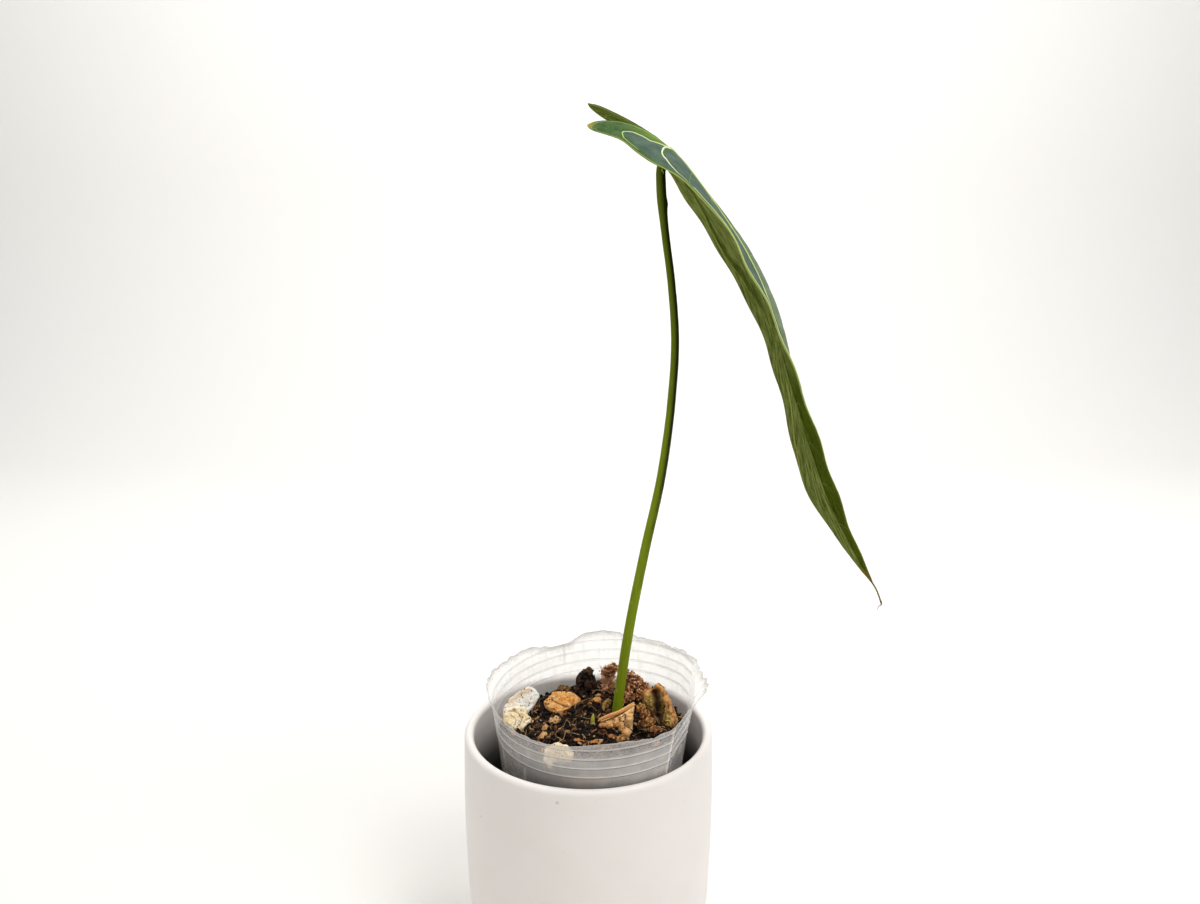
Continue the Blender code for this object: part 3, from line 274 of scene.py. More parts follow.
def unit(vectors):
    return vectors / np.linalg.norm(vectors, axis=-1)[..., None]


def full_turn(count):
    """Even angles round a circle."""
    return 2 * np.pi * np.arange(count) / count


def round_ring(radius, height, turn):
    return np.stack([radius * np.cos(turn), radius * np.sin(turn), np.full_like(turn, height)], 1)


def lumps(points, size, octaves=3, shift=0.0):
    """Fractal noise of about -1 to 1 at each point, with lumps of a size in millimetres."""
    values = []
    for p in np.asarray(points) / size:
        values.append(noise.fractal(Vector(p) + Vector((shift, shift, shift)), 0.9, 2.1, octaves))
    return np.array(values)


class Shade:
    """A Principled material whose nodes are written as nested calls."""

    def __init__(self, name, **settings):
        self.mat = bpy.data.materials.new(name)
        self.mat.use_nodes = True
        self.tree = self.mat.node_tree
        self.shader = self.tree.nodes["Principled BSDF"]
        for label, value in settings.items():
            self.set(label.replace("_", " ").title().replace("Ior", "IOR"), value)

    def set(self, label, value):
        self.feed(self.shader.inputs[label], value)

    def feed(self, socket, value):
        if isinstance(value, bpy.types.NodeSocket):
            self.tree.links.new(value, socket)
        else:
            socket.default_value = linear(value) if socket.type == "RGBA" else value

    def node(self, kind, inputs, **settings):
        node = self.tree.nodes.new("ShaderNode" + kind)
        for label, value in settings.items():
            setattr(node, label, value)
        for label, value in inputs.items():
            self.feed(node.inputs[label], value)
        return node

    def place(self, stretch=(1.0, 1.0, 1.0), turn=(0.0, 0.0, 0.0)):
        """Position on the object in millimetres, stretched after a turn."""
        coords = self.node("TexCoord", {}).outputs["Object"]
        turned = self.node("Mapping", {"Vector": coords, "Rotation": [math.radians(t) for t in turn]})
        scaled = self.node("Mapping", {"Vector": turned.outputs[0], "Scale": [s / MM for s in stretch]})
        return scaled.outputs[0]

    def noise(self, size, detail=3.0, where=None, rough=0.55, bend=0.0):
        node = self.node("TexNoise", {"Vector": where or self.place(), "Scale": 1.0 / size, "Detail": detail,
                                      "Roughness": rough, "Distortion": bend})
        return node.outputs[0]

    def cells(self, size, where=None, feature="DISTANCE_TO_EDGE"):
        inputs = {"Vector": where or self.place(), "Scale": 1.0 / size}
        return self.node("TexVoronoi", inputs, feature=feature).outputs[0]

    def spot(self, centre, radius):
        """1 close to a place in millimetres, and 0 beyond a radius of it."""
        away = self.node("VectorMath", {0: self.place(), 1: centre}, operation="DISTANCE").outputs["Value"]
        return self.band(away, 0.5 * radius, radius, 1.0, 0.0)

    def value(self, label):
        """A number stored with the mesh."""
        return self.node("Attribute", {}, attribute_name=label).outputs["Fac"]

    def band(self, factor, low, high, to_low=0.0, to_high=1.0):
        node = self.node("MapRange", {"Value": factor, "From Min": low, "From Max": high, "To Min": to_low,
                                      "To Max": to_high}, interpolation_type="SMOOTHSTEP")
        return node.outputs[0]

    def math(self, operation, *values):
        node = self.node("Math", {}, operation=operation)
        for socket, value in zip(node.inputs, values):
            self.feed(socket, value)
        return node.outputs[0]

    def mix(self, factor, low, high):
        node = self.node("Mix", {}, data_type="RGBA")
        for socket, value in zip((node.inputs[0], node.inputs[6], node.inputs[7]), (factor, low, high)):
            self.feed(socket, value)
        return node.outputs[2]

    def tint(self, colour, factor, shade, strength):
        """A colour turned into a shade where a factor is 1, up to a strength."""
        return self.mix(self.math("MULTIPLY", factor, strength), colour, shade)

    def ramp(self, factor, *stops):
        """A colour that changes from stop to stop, each given as (position, colour)."""
        node = self.node("ValToRGB", {"Fac": factor})
        ramp = node.color_ramp
        while len(ramp.elements) < len(stops):
            ramp.elements.new(0.5)
        for element, (position, colour) in zip(ramp.elements, stops):
            element.position = position
            element.color = linear(colour)
        return node.outputs[0]

    def relief(self, height, depth, strength=1.0):
        """Bump from a height of 0 to 1 that is so many millimetres deep."""
        node = self.node("Bump", {"Height": height, "Distance": depth * MM, "Strength": strength})
        self.set("Normal", node.outputs[0])

    def done(self, colour, *relief):
        """The material with its colour, and with a bump where that is given."""
        self.set("Base Color", colour)
        if relief:
            self.relief(*relief)
        return self.mat


def ceramic():
    """Pale glaze with a few speckles and marks, and painted shade that darkens the inside of the pot with
    depth.
    """
    s = Shade("pot_ceramic", roughness=0.5, specular_ior_level=0.45)
    glaze = s.mix(s.noise(26.0, 2.0), (240, 234, 230), (247, 242, 239))
    speckle = s.band(s.noise(1.1, 1.0), 0.74, 0.8)
    colour = s.tint(glaze, speckle, (205, 196, 186), 0.35)
    for place, radius, strength in POT_MARKS:
        colour = s.tint(colour, s.spot(place, radius), (96, 74, 58), strength)
    s.set("Roughness", s.band(s.noise(4.0, 3.0), 0.3, 0.7, 0.42, 0.56))
    waves = s.math("ADD", s.noise(9.0, 2.0), s.math("MULTIPLY", s.noise(0.8, 2.0), 0.12))
    return s.done(s.mix(s.value("inside"), colour, (72, 68, 62)), waves, 0.12)


def clear_plastic():
    """Thin milky plastic: pale along its creases and torn edge, with a painted highlight along its ridges,
    painted shade in the groove below each and painted light over its lower front wall.
    """
    s = Shade("clear_plastic", roughness=0.25, specular_ior_level=0.5)
    mottle = s.band(s.noise(5.0, 4.0), 0.35, 0.75, 0.08, 0.13)
    streak = s.band(s.noise(1.6, 2.0, s.place((1.0, 1.0, 0.12))), 0.5, 0.8, 0.0, 0.05)
    alpha = s.math("ADD", mottle, streak)
    for label, strength in CUP_MARKS.items():
        alpha = s.math("ADD", alpha, s.math("MULTIPLY", s.value(label), strength))
    s.set("Alpha", s.math("MINIMUM", alpha, 0.95))
    milky = s.mix(s.value("tear"), (246, 243, 240), (206, 198, 192))
    waves = s.noise(2.2, 3.0, s.place((1.0, 1.0, 0.4)))
    return s.done(s.mix(s.value("groove_shade"), milky, (84, 78, 74)), waves, 0.1, 0.5)


def mix_soil():
    """Dark soil, with chunks of bark in it that show through the clear wall at its side."""
    s = Shade("potting_mix", roughness=0.9, specular_ior_level=0.15)
    grain = s.noise(1.3, 5.0, rough=0.7)
    soil = s.ramp(grain, (0.3, (12, 9, 8)), (0.52, (32, 22, 17)), (0.66, (74, 51, 34)),
                  (0.8, (150, 114, 74)))
    chunk = s.node("TexVoronoi", {"Vector": s.place(), "Scale": 1 / 5.5, "Randomness": 0.9}).outputs["Color"]
    chunks = s.ramp(chunk, (0.45, (50, 46, 48)), (0.66, (76, 66, 62)), (0.72, (196, 146, 104)),
                    (0.84, (214, 190, 156)))
    chunks = s.mix(s.band(grain, 0.3, 0.7), chunks, s.mix(0.5, chunks, soil))
    return s.done(s.mix(s.value("side"), soil, chunks), s.noise(0.8, 5.0, rough=0.7), 0.8)


def crumb_matter(name, *stops):
    """Soil and bark crumbs: each crumb's tone picks its colour, and its surface is grainy."""
    s = Shade(name, roughness=0.88, specular_ior_level=0.2)
    grain = s.noise(0.6, 4.0, rough=0.7)
    worn = s.math("ADD", s.value("tone"), s.band(grain, 0.2, 0.8, -0.16, 0.16))
    return s.done(s.ramp(worn, *stops), grain, 0.35)


def bark(name, dark, middle, light, patch=3.0, grain=(1.0, 0.22, 1.0), turn=(0.0, 0.0, 0.0), moss=0.0,
         bloom=0.0, pit_and_hollow_shade=(62, 36, 18), crack=(48, 28, 16), rind=(176, 112, 56)):
    """Bark in three tones, streaked along its grain, darker in its pits, with moss or a pale bloom.

    Marks stored with the mesh show its cracks, painted shade in its hollows in the pit colour, its rind and
    its tufts of moss.
    """
    s = Shade(name, roughness=0.85, specular_ior_level=0.2)
    along = s.place(grain, turn)
    patches = s.noise(patch, 3.0, bend=0.6)
    streaks = s.noise(1.3, 4.0, along, 0.65)
    tone = s.math("ADD", s.math("MULTIPLY", patches, 0.55), s.math("MULTIPLY", streaks, 0.5))
    colour = s.ramp(tone, (0.36, dark), (0.5, middle), (0.66, light))
    pits = s.band(s.noise(0.9, 3.0, rough=0.7), 0.62, 0.74)
    colour = s.tint(colour, pits, pit_and_hollow_shade, 0.7)
    if moss:
        growth = s.band(s.noise(3.4, 4.0, rough=0.65), 0.62 - moss, 0.72 - moss)
        tuft = s.ramp(s.noise(0.5, 2.0), (0.35, (84, 70, 20)), (0.65, (168, 146, 62)))
        colour = s.tint(colour, growth, tuft, 0.85)
    if bloom:
        mould = s.band(s.noise(4.5, 3.0, rough=0.6), 0.7 - bloom, 0.85 - bloom)
        colour = s.tint(colour, mould, (248, 245, 241), 0.9)
    tuft = s.ramp(s.noise(0.6, 3.0), (0.35, (92, 76, 26)), (0.52, (160, 132, 60)),
                  (0.66, (216, 190, 114)))
    colour = s.mix(s.band(s.math("MULTIPLY", s.value("tufts"), s.noise(0.9, 3.0)), 0.2, 0.42), colour, tuft)
    colour = s.tint(colour, s.value("rind"), s.tint(rind, streaks, light, 0.5), 0.85)
    # Painted shade in the hollows, in the pit colour
    colour = s.tint(colour, s.value("hollow"), pit_and_hollow_shade, 0.92)
    return s.done(s.tint(colour, s.value("crack"), crack, 0.85),
                  s.math("ADD", streaks, s.math("MULTIPLY", s.noise(0.45, 3.0), 0.5)), 0.4)


def leaf_top():
    """Velvety blue-green with a green outer zone and a pale mesh of fine veins, with painted shade in the
    fold by the midrib and a painted sheen over the far half.
    """
    s = Shade("leaf_top", roughness=0.8, specular_ior_level=0.0, sheen_weight=0.04, sheen_roughness=0.4)
    mesh = s.cells(1.3)
    bluish = s.mix(s.band(s.noise(6.0, 4.0), 0.3, 0.7), (66, 85, 74), (88, 106, 97))
    green = s.mix(s.band(s.noise(4.0, 4.0), 0.3, 0.7), (54, 80, 45), (79, 104, 56))
    colour = s.mix(s.value("outer"), bluish, green)
    colour = s.mix(s.band(s.value("vein"), 0.2, 1.6, 0.35, 0.0), colour, (70, 100, 52))
    colour = s.mix(s.band(mesh, 0.0, 0.12, 0.18, 0.0), colour, (128, 150, 116))
    colour = s.tint(colour, s.value("sinus"), (106, 132, 60), 0.9)
    colour = s.mix(s.band(s.value("margin"), 0.1, 0.6, 0.8, 0.0), colour, (160, 176, 84))
    # Painted shade in the fold beside the midrib on the near half
    colour = s.mix(s.value("groove_shade"), colour, (50, 72, 44))
    # Painted sheen: the far half turns a paler grey-green
    pale = s.mix(s.band(s.noise(5.0, 4.0), 0.3, 0.7), (116, 134, 98), (146, 158, 126))
    colour = s.tint(colour, s.value("painted_sheen"), pale, 0.6)
    grain = s.math("ADD", s.band(mesh, 0.0, 0.3), s.math("MULTIPLY", s.noise(0.3, 2.0), 0.6))
    return s.done(s.mix(s.value("dry"), colour, (168, 150, 66)), grain, 0.1, 0.6)


def leaf_under():
    """Yellowish green, streaked along the leaf, with a painted shade of deeper green over the near half and
    the far lobe, and deeper green along the far half's marginal vein.
    """
    s = Shade("leaf_under", roughness=0.7, specular_ior_level=0.0)
    drawn = s.node("CombineXYZ", {"X": s.math("MULTIPLY", s.value("along"), 0.09), "Y": s.value("out")})
    streaks = s.band(s.noise(0.9, 5.0, drawn.outputs[0], 0.75), 0.4, 0.6)
    lit = s.mix(streaks, (72, 88, 26), (144, 154, 86))
    under_shade = s.mix(streaks, (46, 60, 2), (80, 95, 10))
    colour = s.mix(s.value("under_shade"), lit, under_shade)
    colour = s.mix(s.band(s.noise(2.4, 3.0, drawn.outputs[0]), 0.58, 0.68, 0.0, 0.3), colour, (56, 70, 8))
    colour = s.mix(s.band(s.cells(1.1), 0.0, 0.12, 0.16, 0.0), colour, (150, 160, 96))
    colour = s.mix(s.band(s.value("margin"), 0.2, 1.2, 0.6, 0.0), colour, (112, 100, 44))
    return s.done(s.mix(s.value("dry"), colour, (132, 106, 44)),
                  s.math("ADD", streaks, s.noise(0.5, 2.0)), 0.12, 0.7)


def leaf_edge():
    s = Shade("leaf_edge", roughness=0.6, specular_ior_level=0.1)
    pale = s.mix(s.noise(3.0, 2.0), (150, 166, 70), (196, 208, 124))
    green = (104, 118, 40)
    upper = s.mix(s.band(s.value("along"), -4.0, 10.0), green, pale)
    return s.done(s.mix(s.band(s.value("along"), 84.0, 120.0), upper, green))


def vein_matter(name, faint, middle, bright):
    """Vein tissue: each vein's tone picks its colour."""
    s = Shade(name, roughness=0.5, specular_ior_level=0.15)
    return s.done(s.ramp(s.value("tone"), (0.0, faint), (0.55, middle), (1.0, bright)),
                  s.noise(0.5, 2.0), 0.04)


def petiole_skin():
    s = Shade("petiole_green", roughness=0.45, specular_ior_level=0.08)
    streak = s.noise(0.7, 3.0, s.place((1.0, 1.0, 0.06)))
    low = s.mix(streak, (110, 130, 14), (140, 158, 32))
    high = s.mix(streak, (80, 96, 10), (112, 126, 30))
    height = s.math("ADD", s.value("height"), s.band(s.noise(9.0, 3.0), 0.0, 1.0, -20.0, 20.0))
    # Darker green higher up, as painted shade under the leaf
    colour = s.mix(s.band(height, 190.0, 300.0), low, high)
    # Painted shade on the right side, from partway up, where the leaf shades it
    shaded = s.math("MULTIPLY", s.value("right"), s.band(height, 150.0, 230.0))
    colour = s.mix(shaded, colour, (34, 44, 6))
    specks = s.band(s.cells(2.6, s.place((1.0, 1.0, 0.4)), "F1"), 0.07, 0.11, 0.8, 0.0)
    return s.done(s.mix(specks, colour, (190, 200, 120)),
                  s.math("ADD", streak, s.math("MULTIPLY", s.noise(0.5, 2.0), 0.3)), 0.14)


def shoot_skin():
    s = Shade("shoot_green", roughness=0.5, specular_ior_level=0.2, subsurface_weight=0.1)
    s.set("Subsurface Radius", (0.6 * MM, 0.8 * MM, 0.3 * MM))
    tone = s.band(s.value("height"), 0.35, 1.0)
    return s.done(s.mix(tone, (120, 146, 34), (186, 194, 78)),
                  s.noise(0.5, 2.0, s.place((1.0, 1.0, 0.1))), 0.12)


def add_to_scene(name, data):
    obj = bpy.data.objects.new(name, data)
    bpy.context.scene.collection.objects.link(obj)
    return obj


def add_piece(name, points, faces, mats, replaces=(), values=None, parts=None, sharp=None):
    """A mesh piece on the body: points in millimetres, numbers per point, and a material per face."""
    mesh = bpy.data.meshes.new(name)
    mesh.from_pydata((np.asarray(points, float) * MM).tolist(), [], [tuple(map(int, f)) for f in faces])
    for label, numbers in (values or {}).items():
        numbers = np.asarray(numbers, np.float32)
        mesh.attributes.new(label, "FLOAT", "POINT").data.foreach_set("value", numbers)
    for mat in mats:
        mesh.materials.append(mat)
    if parts is not None:
        mesh.polygons.foreach_set("material_index", np.asarray(parts, np.int32))
    mesh.shade_smooth()
    if sharp:
        mesh.set_sharp_from_angle(angle=math.radians(sharp))
    mesh.update()
    obj = add_to_scene(name, mesh)
    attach(obj, BODY)
    for node in replaces:
        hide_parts(node)


def ring_faces(rings, count):
    """Quads between rings that have so many points each."""
    faces = []
    for r in range(rings - 1):
        low = r * count
        for k in range(count):
            nxt = (k + 1) % count
            faces.append((low + k, low + nxt, low + count + nxt, low + count + k))
    return faces


def capped(rings):
    """Points and faces of a tube through rings of equal size, with a fan at each end."""
    rings = np.asarray(rings, float)
    total, count = rings.shape[:2]
    points = np.concatenate([rings.reshape(-1, 3), rings[0].mean(0)[None], rings[-1].mean(0)[None]])
    faces = ring_faces(total, count)
    first = total * count
    for k in range(count):
        nxt = (k + 1) % count
        faces.append((nxt, k, first))
        faces.append((first - count + k, first - count + nxt, first + 1))
    return points, faces


def tube(path, radii, sides):
    """A closed round tube along a path of points, turned smoothly with it."""
    path = np.asarray(path, float)
    ahead = unit(np.gradient(path, axis=0))
    side = np.array(FAR_SIDE)
    turn = full_turn(sides)
    rings = []
    for point, forward, radius in zip(path, ahead, np.broadcast_to(radii, len(path))):
        side = side - forward * side.dot(forward)
        side /= np.linalg.norm(side)
        other = np.cross(forward, side)
        rings.append(point + radius * (np.cos(turn)[:, None] * side + np.sin(turn)[:, None] * other))
    return capped(rings)


class Heap:
    """Many small shapes gathered into one mesh, each with a tone of its own."""

    def __init__(self):
        self.points = []
        self.faces = []
        self.tones = []
        self.count = 0

    def add(self, points, faces, tone):
        self.points.append(np.asarray(points, float))
        self.faces += [tuple(i + self.count for i in face) for face in faces]
        self.tones.append(np.broadcast_to(tone, len(points)))
        self.count += len(points)

    def piece(self, name, mat, slot, replaces=(), sharp=None):
        values = {"tone": np.concatenate(self.tones)}
        add_piece(name, np.concatenate(self.points), self.faces, [mat], replaces, values, sharp=sharp)


def tree_of(*nodes):
    """The solids of these nodes, for finding where a line meets them."""
    points = []
    faces = []
    for node in nodes:
        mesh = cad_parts[node].data
        first = len(points)
        points += [v.co / MM for v in mesh.vertices]
        faces += [[first + i for i in p.vertices] for p in mesh.polygons]
    return BVHTree.FromPolygons(points, faces)


def bark_nodes():
    return sorted(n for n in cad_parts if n.startswith("bark_"))


MIX_TREE = tree_of("potting_mix")
BARK_TREE = tree_of(*bark_nodes(), "coir_clump")
CARRIER_TREE = tree_of("potting_mix", "coir_clump", *bark_nodes())


def height_at(tree, x, y):
    """Height of the highest surface at a place, or nothing."""
    hit = tree.ray_cast(Vector((x, y, RAY_HEIGHT)), -UP)[0]
    return hit.z if hit else None


def ray_through(x, y):
    """Direction from the camera through a pixel of the photograph."""
    down = math.radians(CAMERA_DOWN)
    ahead = Vector((0.0, math.cos(down), -math.sin(down)))
    up = Vector((0.0, math.sin(down), math.cos(down)))
    right = Vector((x - PHOTO_WIDTH / 2, 0.0, 0.0))
    return ahead * CAMERA_FOCAL_PIXELS + right - up * (y - PHOTO_HEIGHT / 2)


def at_depth(x, y, behind):
    """The point behind a pixel of the photograph at a distance behind the pot's axis."""
    ray = ray_through(x, y)
    return Vector(CAMERA_PLACE) + ray * ((behind - CAMERA_PLACE[1]) / ray.y)


def seen(x, y, tree, behind):
    """The point of a solid that a pixel of the photograph looks at, or the closest one to its line."""
    hit = tree.ray_cast(Vector(CAMERA_PLACE), ray_through(x, y).normalized())[0]
    return hit or tree.find_nearest(at_depth(x, y, behind))[0]


# Pot

def pot_profile():
    """Half section of the pot as (radius, height), from the foot round to the inside floor."""
    foot_height, foot_radius = POT_WALL_LINE[0]
    profile = [(POT_FOOT_RADIUS - POT_FOOT_INSET, 0.0), (POT_FOOT_RADIUS, POT_FOOT_LIFT)]
    for angle in np.radians(np.linspace(12, 78, 7)):
        profile.append((POT_FOOT_RADIUS + (foot_radius - POT_FOOT_RADIUS) * math.sin(angle),
                        POT_FOOT_LIFT + foot_height * (1 - math.cos(angle))))
    lip_height, lip_radius = POT_WALL_LINE[-1]
    for height in np.linspace(foot_height, lip_height, 22):
        profile.append((float(through(POT_WALL_LINE, height)), height))
    for angle in np.radians(np.linspace(12, 180, 15)):
        profile.append((lip_radius - POT_WALL / 2 * (1 - math.cos(angle)),
                        lip_height + (POT_HEIGHT - lip_height) * math.sin(angle)))
    for height in np.linspace(lip_height - 4, POT_FLOOR + POT_INNER_ROUNDING + 2, 14):
        profile.append((float(through(POT_WALL_LINE, height)) - POT_WALL, height))
    for angle in np.radians(np.linspace(0, 90, 7)):
        profile.append((foot_radius - POT_WALL - POT_INNER_ROUNDING * (1 - math.cos(angle)),
                        POT_FLOOR + POT_INNER_ROUNDING * (1 - math.sin(angle))))
    return profile


def make_pot():
    turn = full_turn(POT_SEGMENTS)
    points, faces = capped([round_ring(radius, height, turn) for radius, height in pot_profile()])
    away = np.hypot(points[:, 0], points[:, 1])
    inner = (away < POT_SHADE_RADIUS) * (points[:, 2] > POT_WALL_LINE[0][0] + 1.0)
    # Painted shade inside the pot, darker further down
    inside = inner * rise(points[:, 2], POT_HEIGHT - POT_SHADE_START, -POT_SHADE_DEPTH)
    add_piece("pot_body", points, faces, [ceramic()], ["pot"], {"inside": inside}, sharp=50)


# Nursery cup

CUP_ANGLES = full_turn(CUP_SEGMENTS)


def signed_degrees(angle):
    return (np.degrees(angle) + 180.0) % 360.0 - 180.0


def flat_side(angle):
    """Radius of the cup's pressed side as a share of the full round: straight between its corners."""
    degrees = signed_degrees(angle)
    share = np.ones_like(degrees)
    for (a, share_a), (b, share_b) in zip(FLAT_CORNERS[:-1], FLAT_CORNERS[1:]):
        inside = (degrees >= a) & (degrees <= b)
        to_a = np.sin(np.radians(degrees - a))
        to_b = np.sin(np.radians(b - degrees))
        straight = share_a * share_b * math.sin(math.radians(b - a)) / (share_a * to_a + share_b * to_b)
        share = np.where(inside, straight, share)
    return share


def cup_centre(level):
    above = [2 * ring - pot for ring, pot in zip(CUP_RING_CENTRE, CUP_POT_CENTRE)]
    levels = (CUP_BASE_LEVEL, CUP_POT_LEVEL, 0.0, -CUP_POT_LEVEL)
    centres = np.array([CUP_BASE_CENTRE, CUP_POT_CENTRE, CUP_RING_CENTRE, above])
    return np.stack([np.interp(level, levels, centres[:, i]) for i in range(3)], axis=-1)


def cup_ring(level, inset=0.0, angles=CUP_ANGLES):
    """Points round the cup at a level, or at one for each angle, inset from its outer face."""
    level = np.broadcast_to(np.asarray(level, float), angles.shape)
    share = (level - CUP_BASE_LEVEL) / -CUP_BASE_LEVEL
    fade = np.clip(share / FLAT_FULL_SHARE, 0, 1) * np.clip(1 - np.maximum(level, 0) / FLAT_FADE_ABOVE, 0, 1)
    pressed = 1 - (1 - flat_side(angles)) * fade
    radius = np.interp(level, [s[0] for s in CUP_RADIUS], [s[1] for s in CUP_RADIUS]) * pressed - inset
    tilt_x = math.radians(CUP_RING_TILT[0]) * share
    tilt_y = math.radians(CUP_RING_TILT[1]) * share
    x = radius * np.cos(angles)
    y = radius * np.sin(angles)
    z = y * np.sin(tilt_x)
    offset = np.stack([x * np.cos(tilt_y) + z * np.sin(tilt_y), y * np.cos(tilt_x),
                       z * np.cos(tilt_y) - x * np.sin(tilt_y)], axis=-1)
    return cup_centre(level) + offset


def torn_edge(rng):
    """Level of the torn rim at each angle: its broad line with a ragged edge, smoother at the back."""
    ragged = 0.35 + 0.65 * np.abs(np.cos(CUP_ANGLES)) + 0.2 * (CUP_ANGLES > np.pi)
    level = 0.2 * np.sin(22 * CUP_ANGLES) + 0.16 * np.sin(41 * CUP_ANGLES + 1.0)
    level += rng.uniform(-0.14, 0.14, CUP_SEGMENTS)
    for angle in rng.uniform(0, 2 * np.pi, 30):
        away = np.abs(signed_degrees(CUP_ANGLES - angle))
        level -= rng.uniform(0.2, 0.7) * bell(away, rng.uniform(0.7, 1.8))
    return np.maximum(through(TORN_RIM, np.degrees(CUP_ANGLES)) + level * ragged, TORN_LOWEST)


def cup_levels():
    """Levels up the wall, close together at each ring ridge and at the groove below it."""
    levels = [CUP_BASE_LEVEL, -112.0, -90.0, -60.0, -40.0, -30.0, CUP_POT_LEVEL, -19.0, -16.5]
    for ring in reversed(range(CUP_RINGS)):
        steps = (-1.6, -0.9, -0.72, -0.6, -0.5, -0.4, -0.3, -0.2, -0.1, 0.0, 0.1, 0.2, 0.35, 0.8, 1.6)
        levels += [d - ring * CUP_RING_PITCH for d in steps]
    return levels


def near_ring(level, width, drop=0.0):
    """1 at each ring ridge, or so far below it, fading over a width."""
    return sum(bell(level + ring * CUP_RING_PITCH + drop, width) for ring in range(CUP_RINGS))


def make_cup():
    rng = np.random.default_rng(SEEDS["cup"])
    edge = torn_edge(rng)
    crumple = rng.uniform(-0.12, 0.12, CUP_SEGMENTS) + 0.16 * np.sin(37 * CUP_ANGLES)
    rows = []
    for level in cup_levels():
        ridge = CUP_RING_HEIGHT * near_ring(level, CUP_RING_WIDTH)
        rows.append((np.minimum(level, edge - CUP_EDGE_SPARE), -ridge, 0.0))
    for share in CUP_EDGE_ROWS:
        level = CUP_EDGE_START + (edge - CUP_EDGE_START) * share
        level = np.where(edge > CUP_EDGE_LOW, level, edge - CUP_EDGE_SPARE * (1 - share))
        rows.append((level, -crumple * share**2, share**3))
    # Facing is 1 at the front: the painted ridge highlights and groove shade show more there, and the
    # painted light haze only there, low down
    facing = ((1 - np.sin(CUP_ANGLES)) / 2)**0.7
    clear = 0.4 + 0.6 * np.minimum(1.5 * facing, 1.0)
    rings = []
    values = {label: [] for label in CUP_MARKS}
    for inner in (False, True):
        for level, inset, tear in (rows[::-1] if inner else rows):
            level = np.broadcast_to(level, CUP_ANGLES.shape)
            rings.append(cup_ring(level, inset + (CUP_WALL if inner else 0.0)))
            values["ring"].append(clear * near_ring(level, CUP_RING_WIDTH))
            values["groove_shade"].append(clear * near_ring(level, CUP_GROOVE_WIDTH, CUP_GROOVE_DROP))
            values["tear"].append(np.maximum(tear, 0.5 * bell(edge - level, 2.0)))
            values["crease"].append(crease_share(level))
            values["painted_light_haze"].append(rise(level, 3.0, -9.0) * facing)
    rings[-1] = cup_ring(CUP_BASE_LEVEL + CUP_WALL, 2 * CUP_WALL)
    points, faces = capped(rings)
    values = {label: np.concatenate([*numbers, (0.0, 0.0)]) for label, numbers in values.items()}
    add_piece("cup_wall", points, faces, [clear_plastic()], ["nursery_cup"], values)


def crease_share(level):
    """How strongly a crease shows at each angle for these levels."""
    share = np.zeros_like(CUP_ANGLES)
    for low_angle, low, high_angle, high, strength in CUP_CREASES:
        angle = low_angle + (high_angle - low_angle) * rise(level, low, high - low)
        away = np.abs(signed_degrees(CUP_ANGLES - np.radians(angle)))
        within = rise(level, low, CREASE_END) * rise(level, high, -CREASE_END)
        share = np.maximum(share, strength * bell(away, CREASE_WIDTH) * within)
    return share


# Potting mix

def ground(x, y):
    """Height of the mix at a place, read a little inwards where the place is at its edge."""
    centre = cup_centre(MIX_CENTRE_LEVEL)
    for share in (1.0, 0.985, 0.965, 0.94):
        z = height_at(MIX_TREE, centre[0] + (x - centre[0]) * share, centre[1] + (y - centre[1]) * share)
        if z is not None and z > MIX_LOWEST:
            return z
    return MIX_EDGE_HEIGHT


def make_ground():
    """The body of the mix: a lumpy top that follows the solid, and a side close inside the cup."""
    inset = CUP_WALL + MIX_CLEARANCE
    level = np.full(CUP_SEGMENTS, MIX_EDGE_LEVEL)
    for _ in range(4):
        edge = cup_ring(level, inset)
        level += np.array([ground(p[0], p[1]) for p in edge]) - edge[:, 2]
    edge = cup_ring(level, inset)
    centre = edge.mean(0)
    rings = []
    for ring in range(MIX_RINGS):
        share = (ring + 0.5) / MIX_RINGS
        row = centre + (edge - centre) * share
        row[:, 2] = [ground(p[0], p[1]) for p in row]
        rings.append(row)
    top = np.concatenate(rings)
    near_edge = np.clip(np.arange(MIX_RINGS) / MIX_RINGS * 8 - 7, 0, 1).repeat(CUP_SEGMENTS)
    coarse = lumps(top, 3.2, 3)
    fine = lumps(top, 1.1, 3, 7.0)
    top[:, 2] += (0.9 * coarse + 0.45 * fine) * (1 - near_edge) - 0.3
    rings = list(top.reshape(MIX_RINGS, CUP_SEGMENTS, 3)) + [edge]
    for low in MIX_SIDE_LEVELS:
        rings.append(cup_ring(np.minimum(low, level - 0.8), inset))
    rings.append(cup_ring(CUP_BASE_LEVEL + 1.0, 3.0))
    points, faces = capped(rings[::-1])
    side = np.zeros(len(points))
    side[:(len(MIX_SIDE_LEVELS) + 2) * CUP_SEGMENTS] = 1.0
    add_piece("mix_ground", points, faces, [mix_soil()], ["potting_mix"], {"side": side})


ICO_POINTS = np.array([(0, s, t) for s in (-1, 1) for t in (-1.618, 1.618)]
                      + [(s, t, 0) for s in (-1, 1) for t in (-1.618, 1.618)]
                      + [(t, 0, s) for s in (-1, 1) for t in (-1.618, 1.618)]) / 1.902


def ico_faces():
    """Faces of the icosahedron: each three points that are all next to each other, turned outwards."""
    faces = []
    for i in range(12):
        for j in range(i + 1, 12):
            for k in range(j + 1, 12):
                a, b, c = ICO_POINTS[[i, j, k]]
                if max(np.linalg.norm(a - b), np.linalg.norm(b - c), np.linalg.norm(a - c)) < 1.1:
                    outward = np.cross(b - a, c - a).dot(a + b + c) > 0
                    faces.append((i, j, k) if outward else (i, k, j))
    return faces


ICO_FACES = ico_faces()


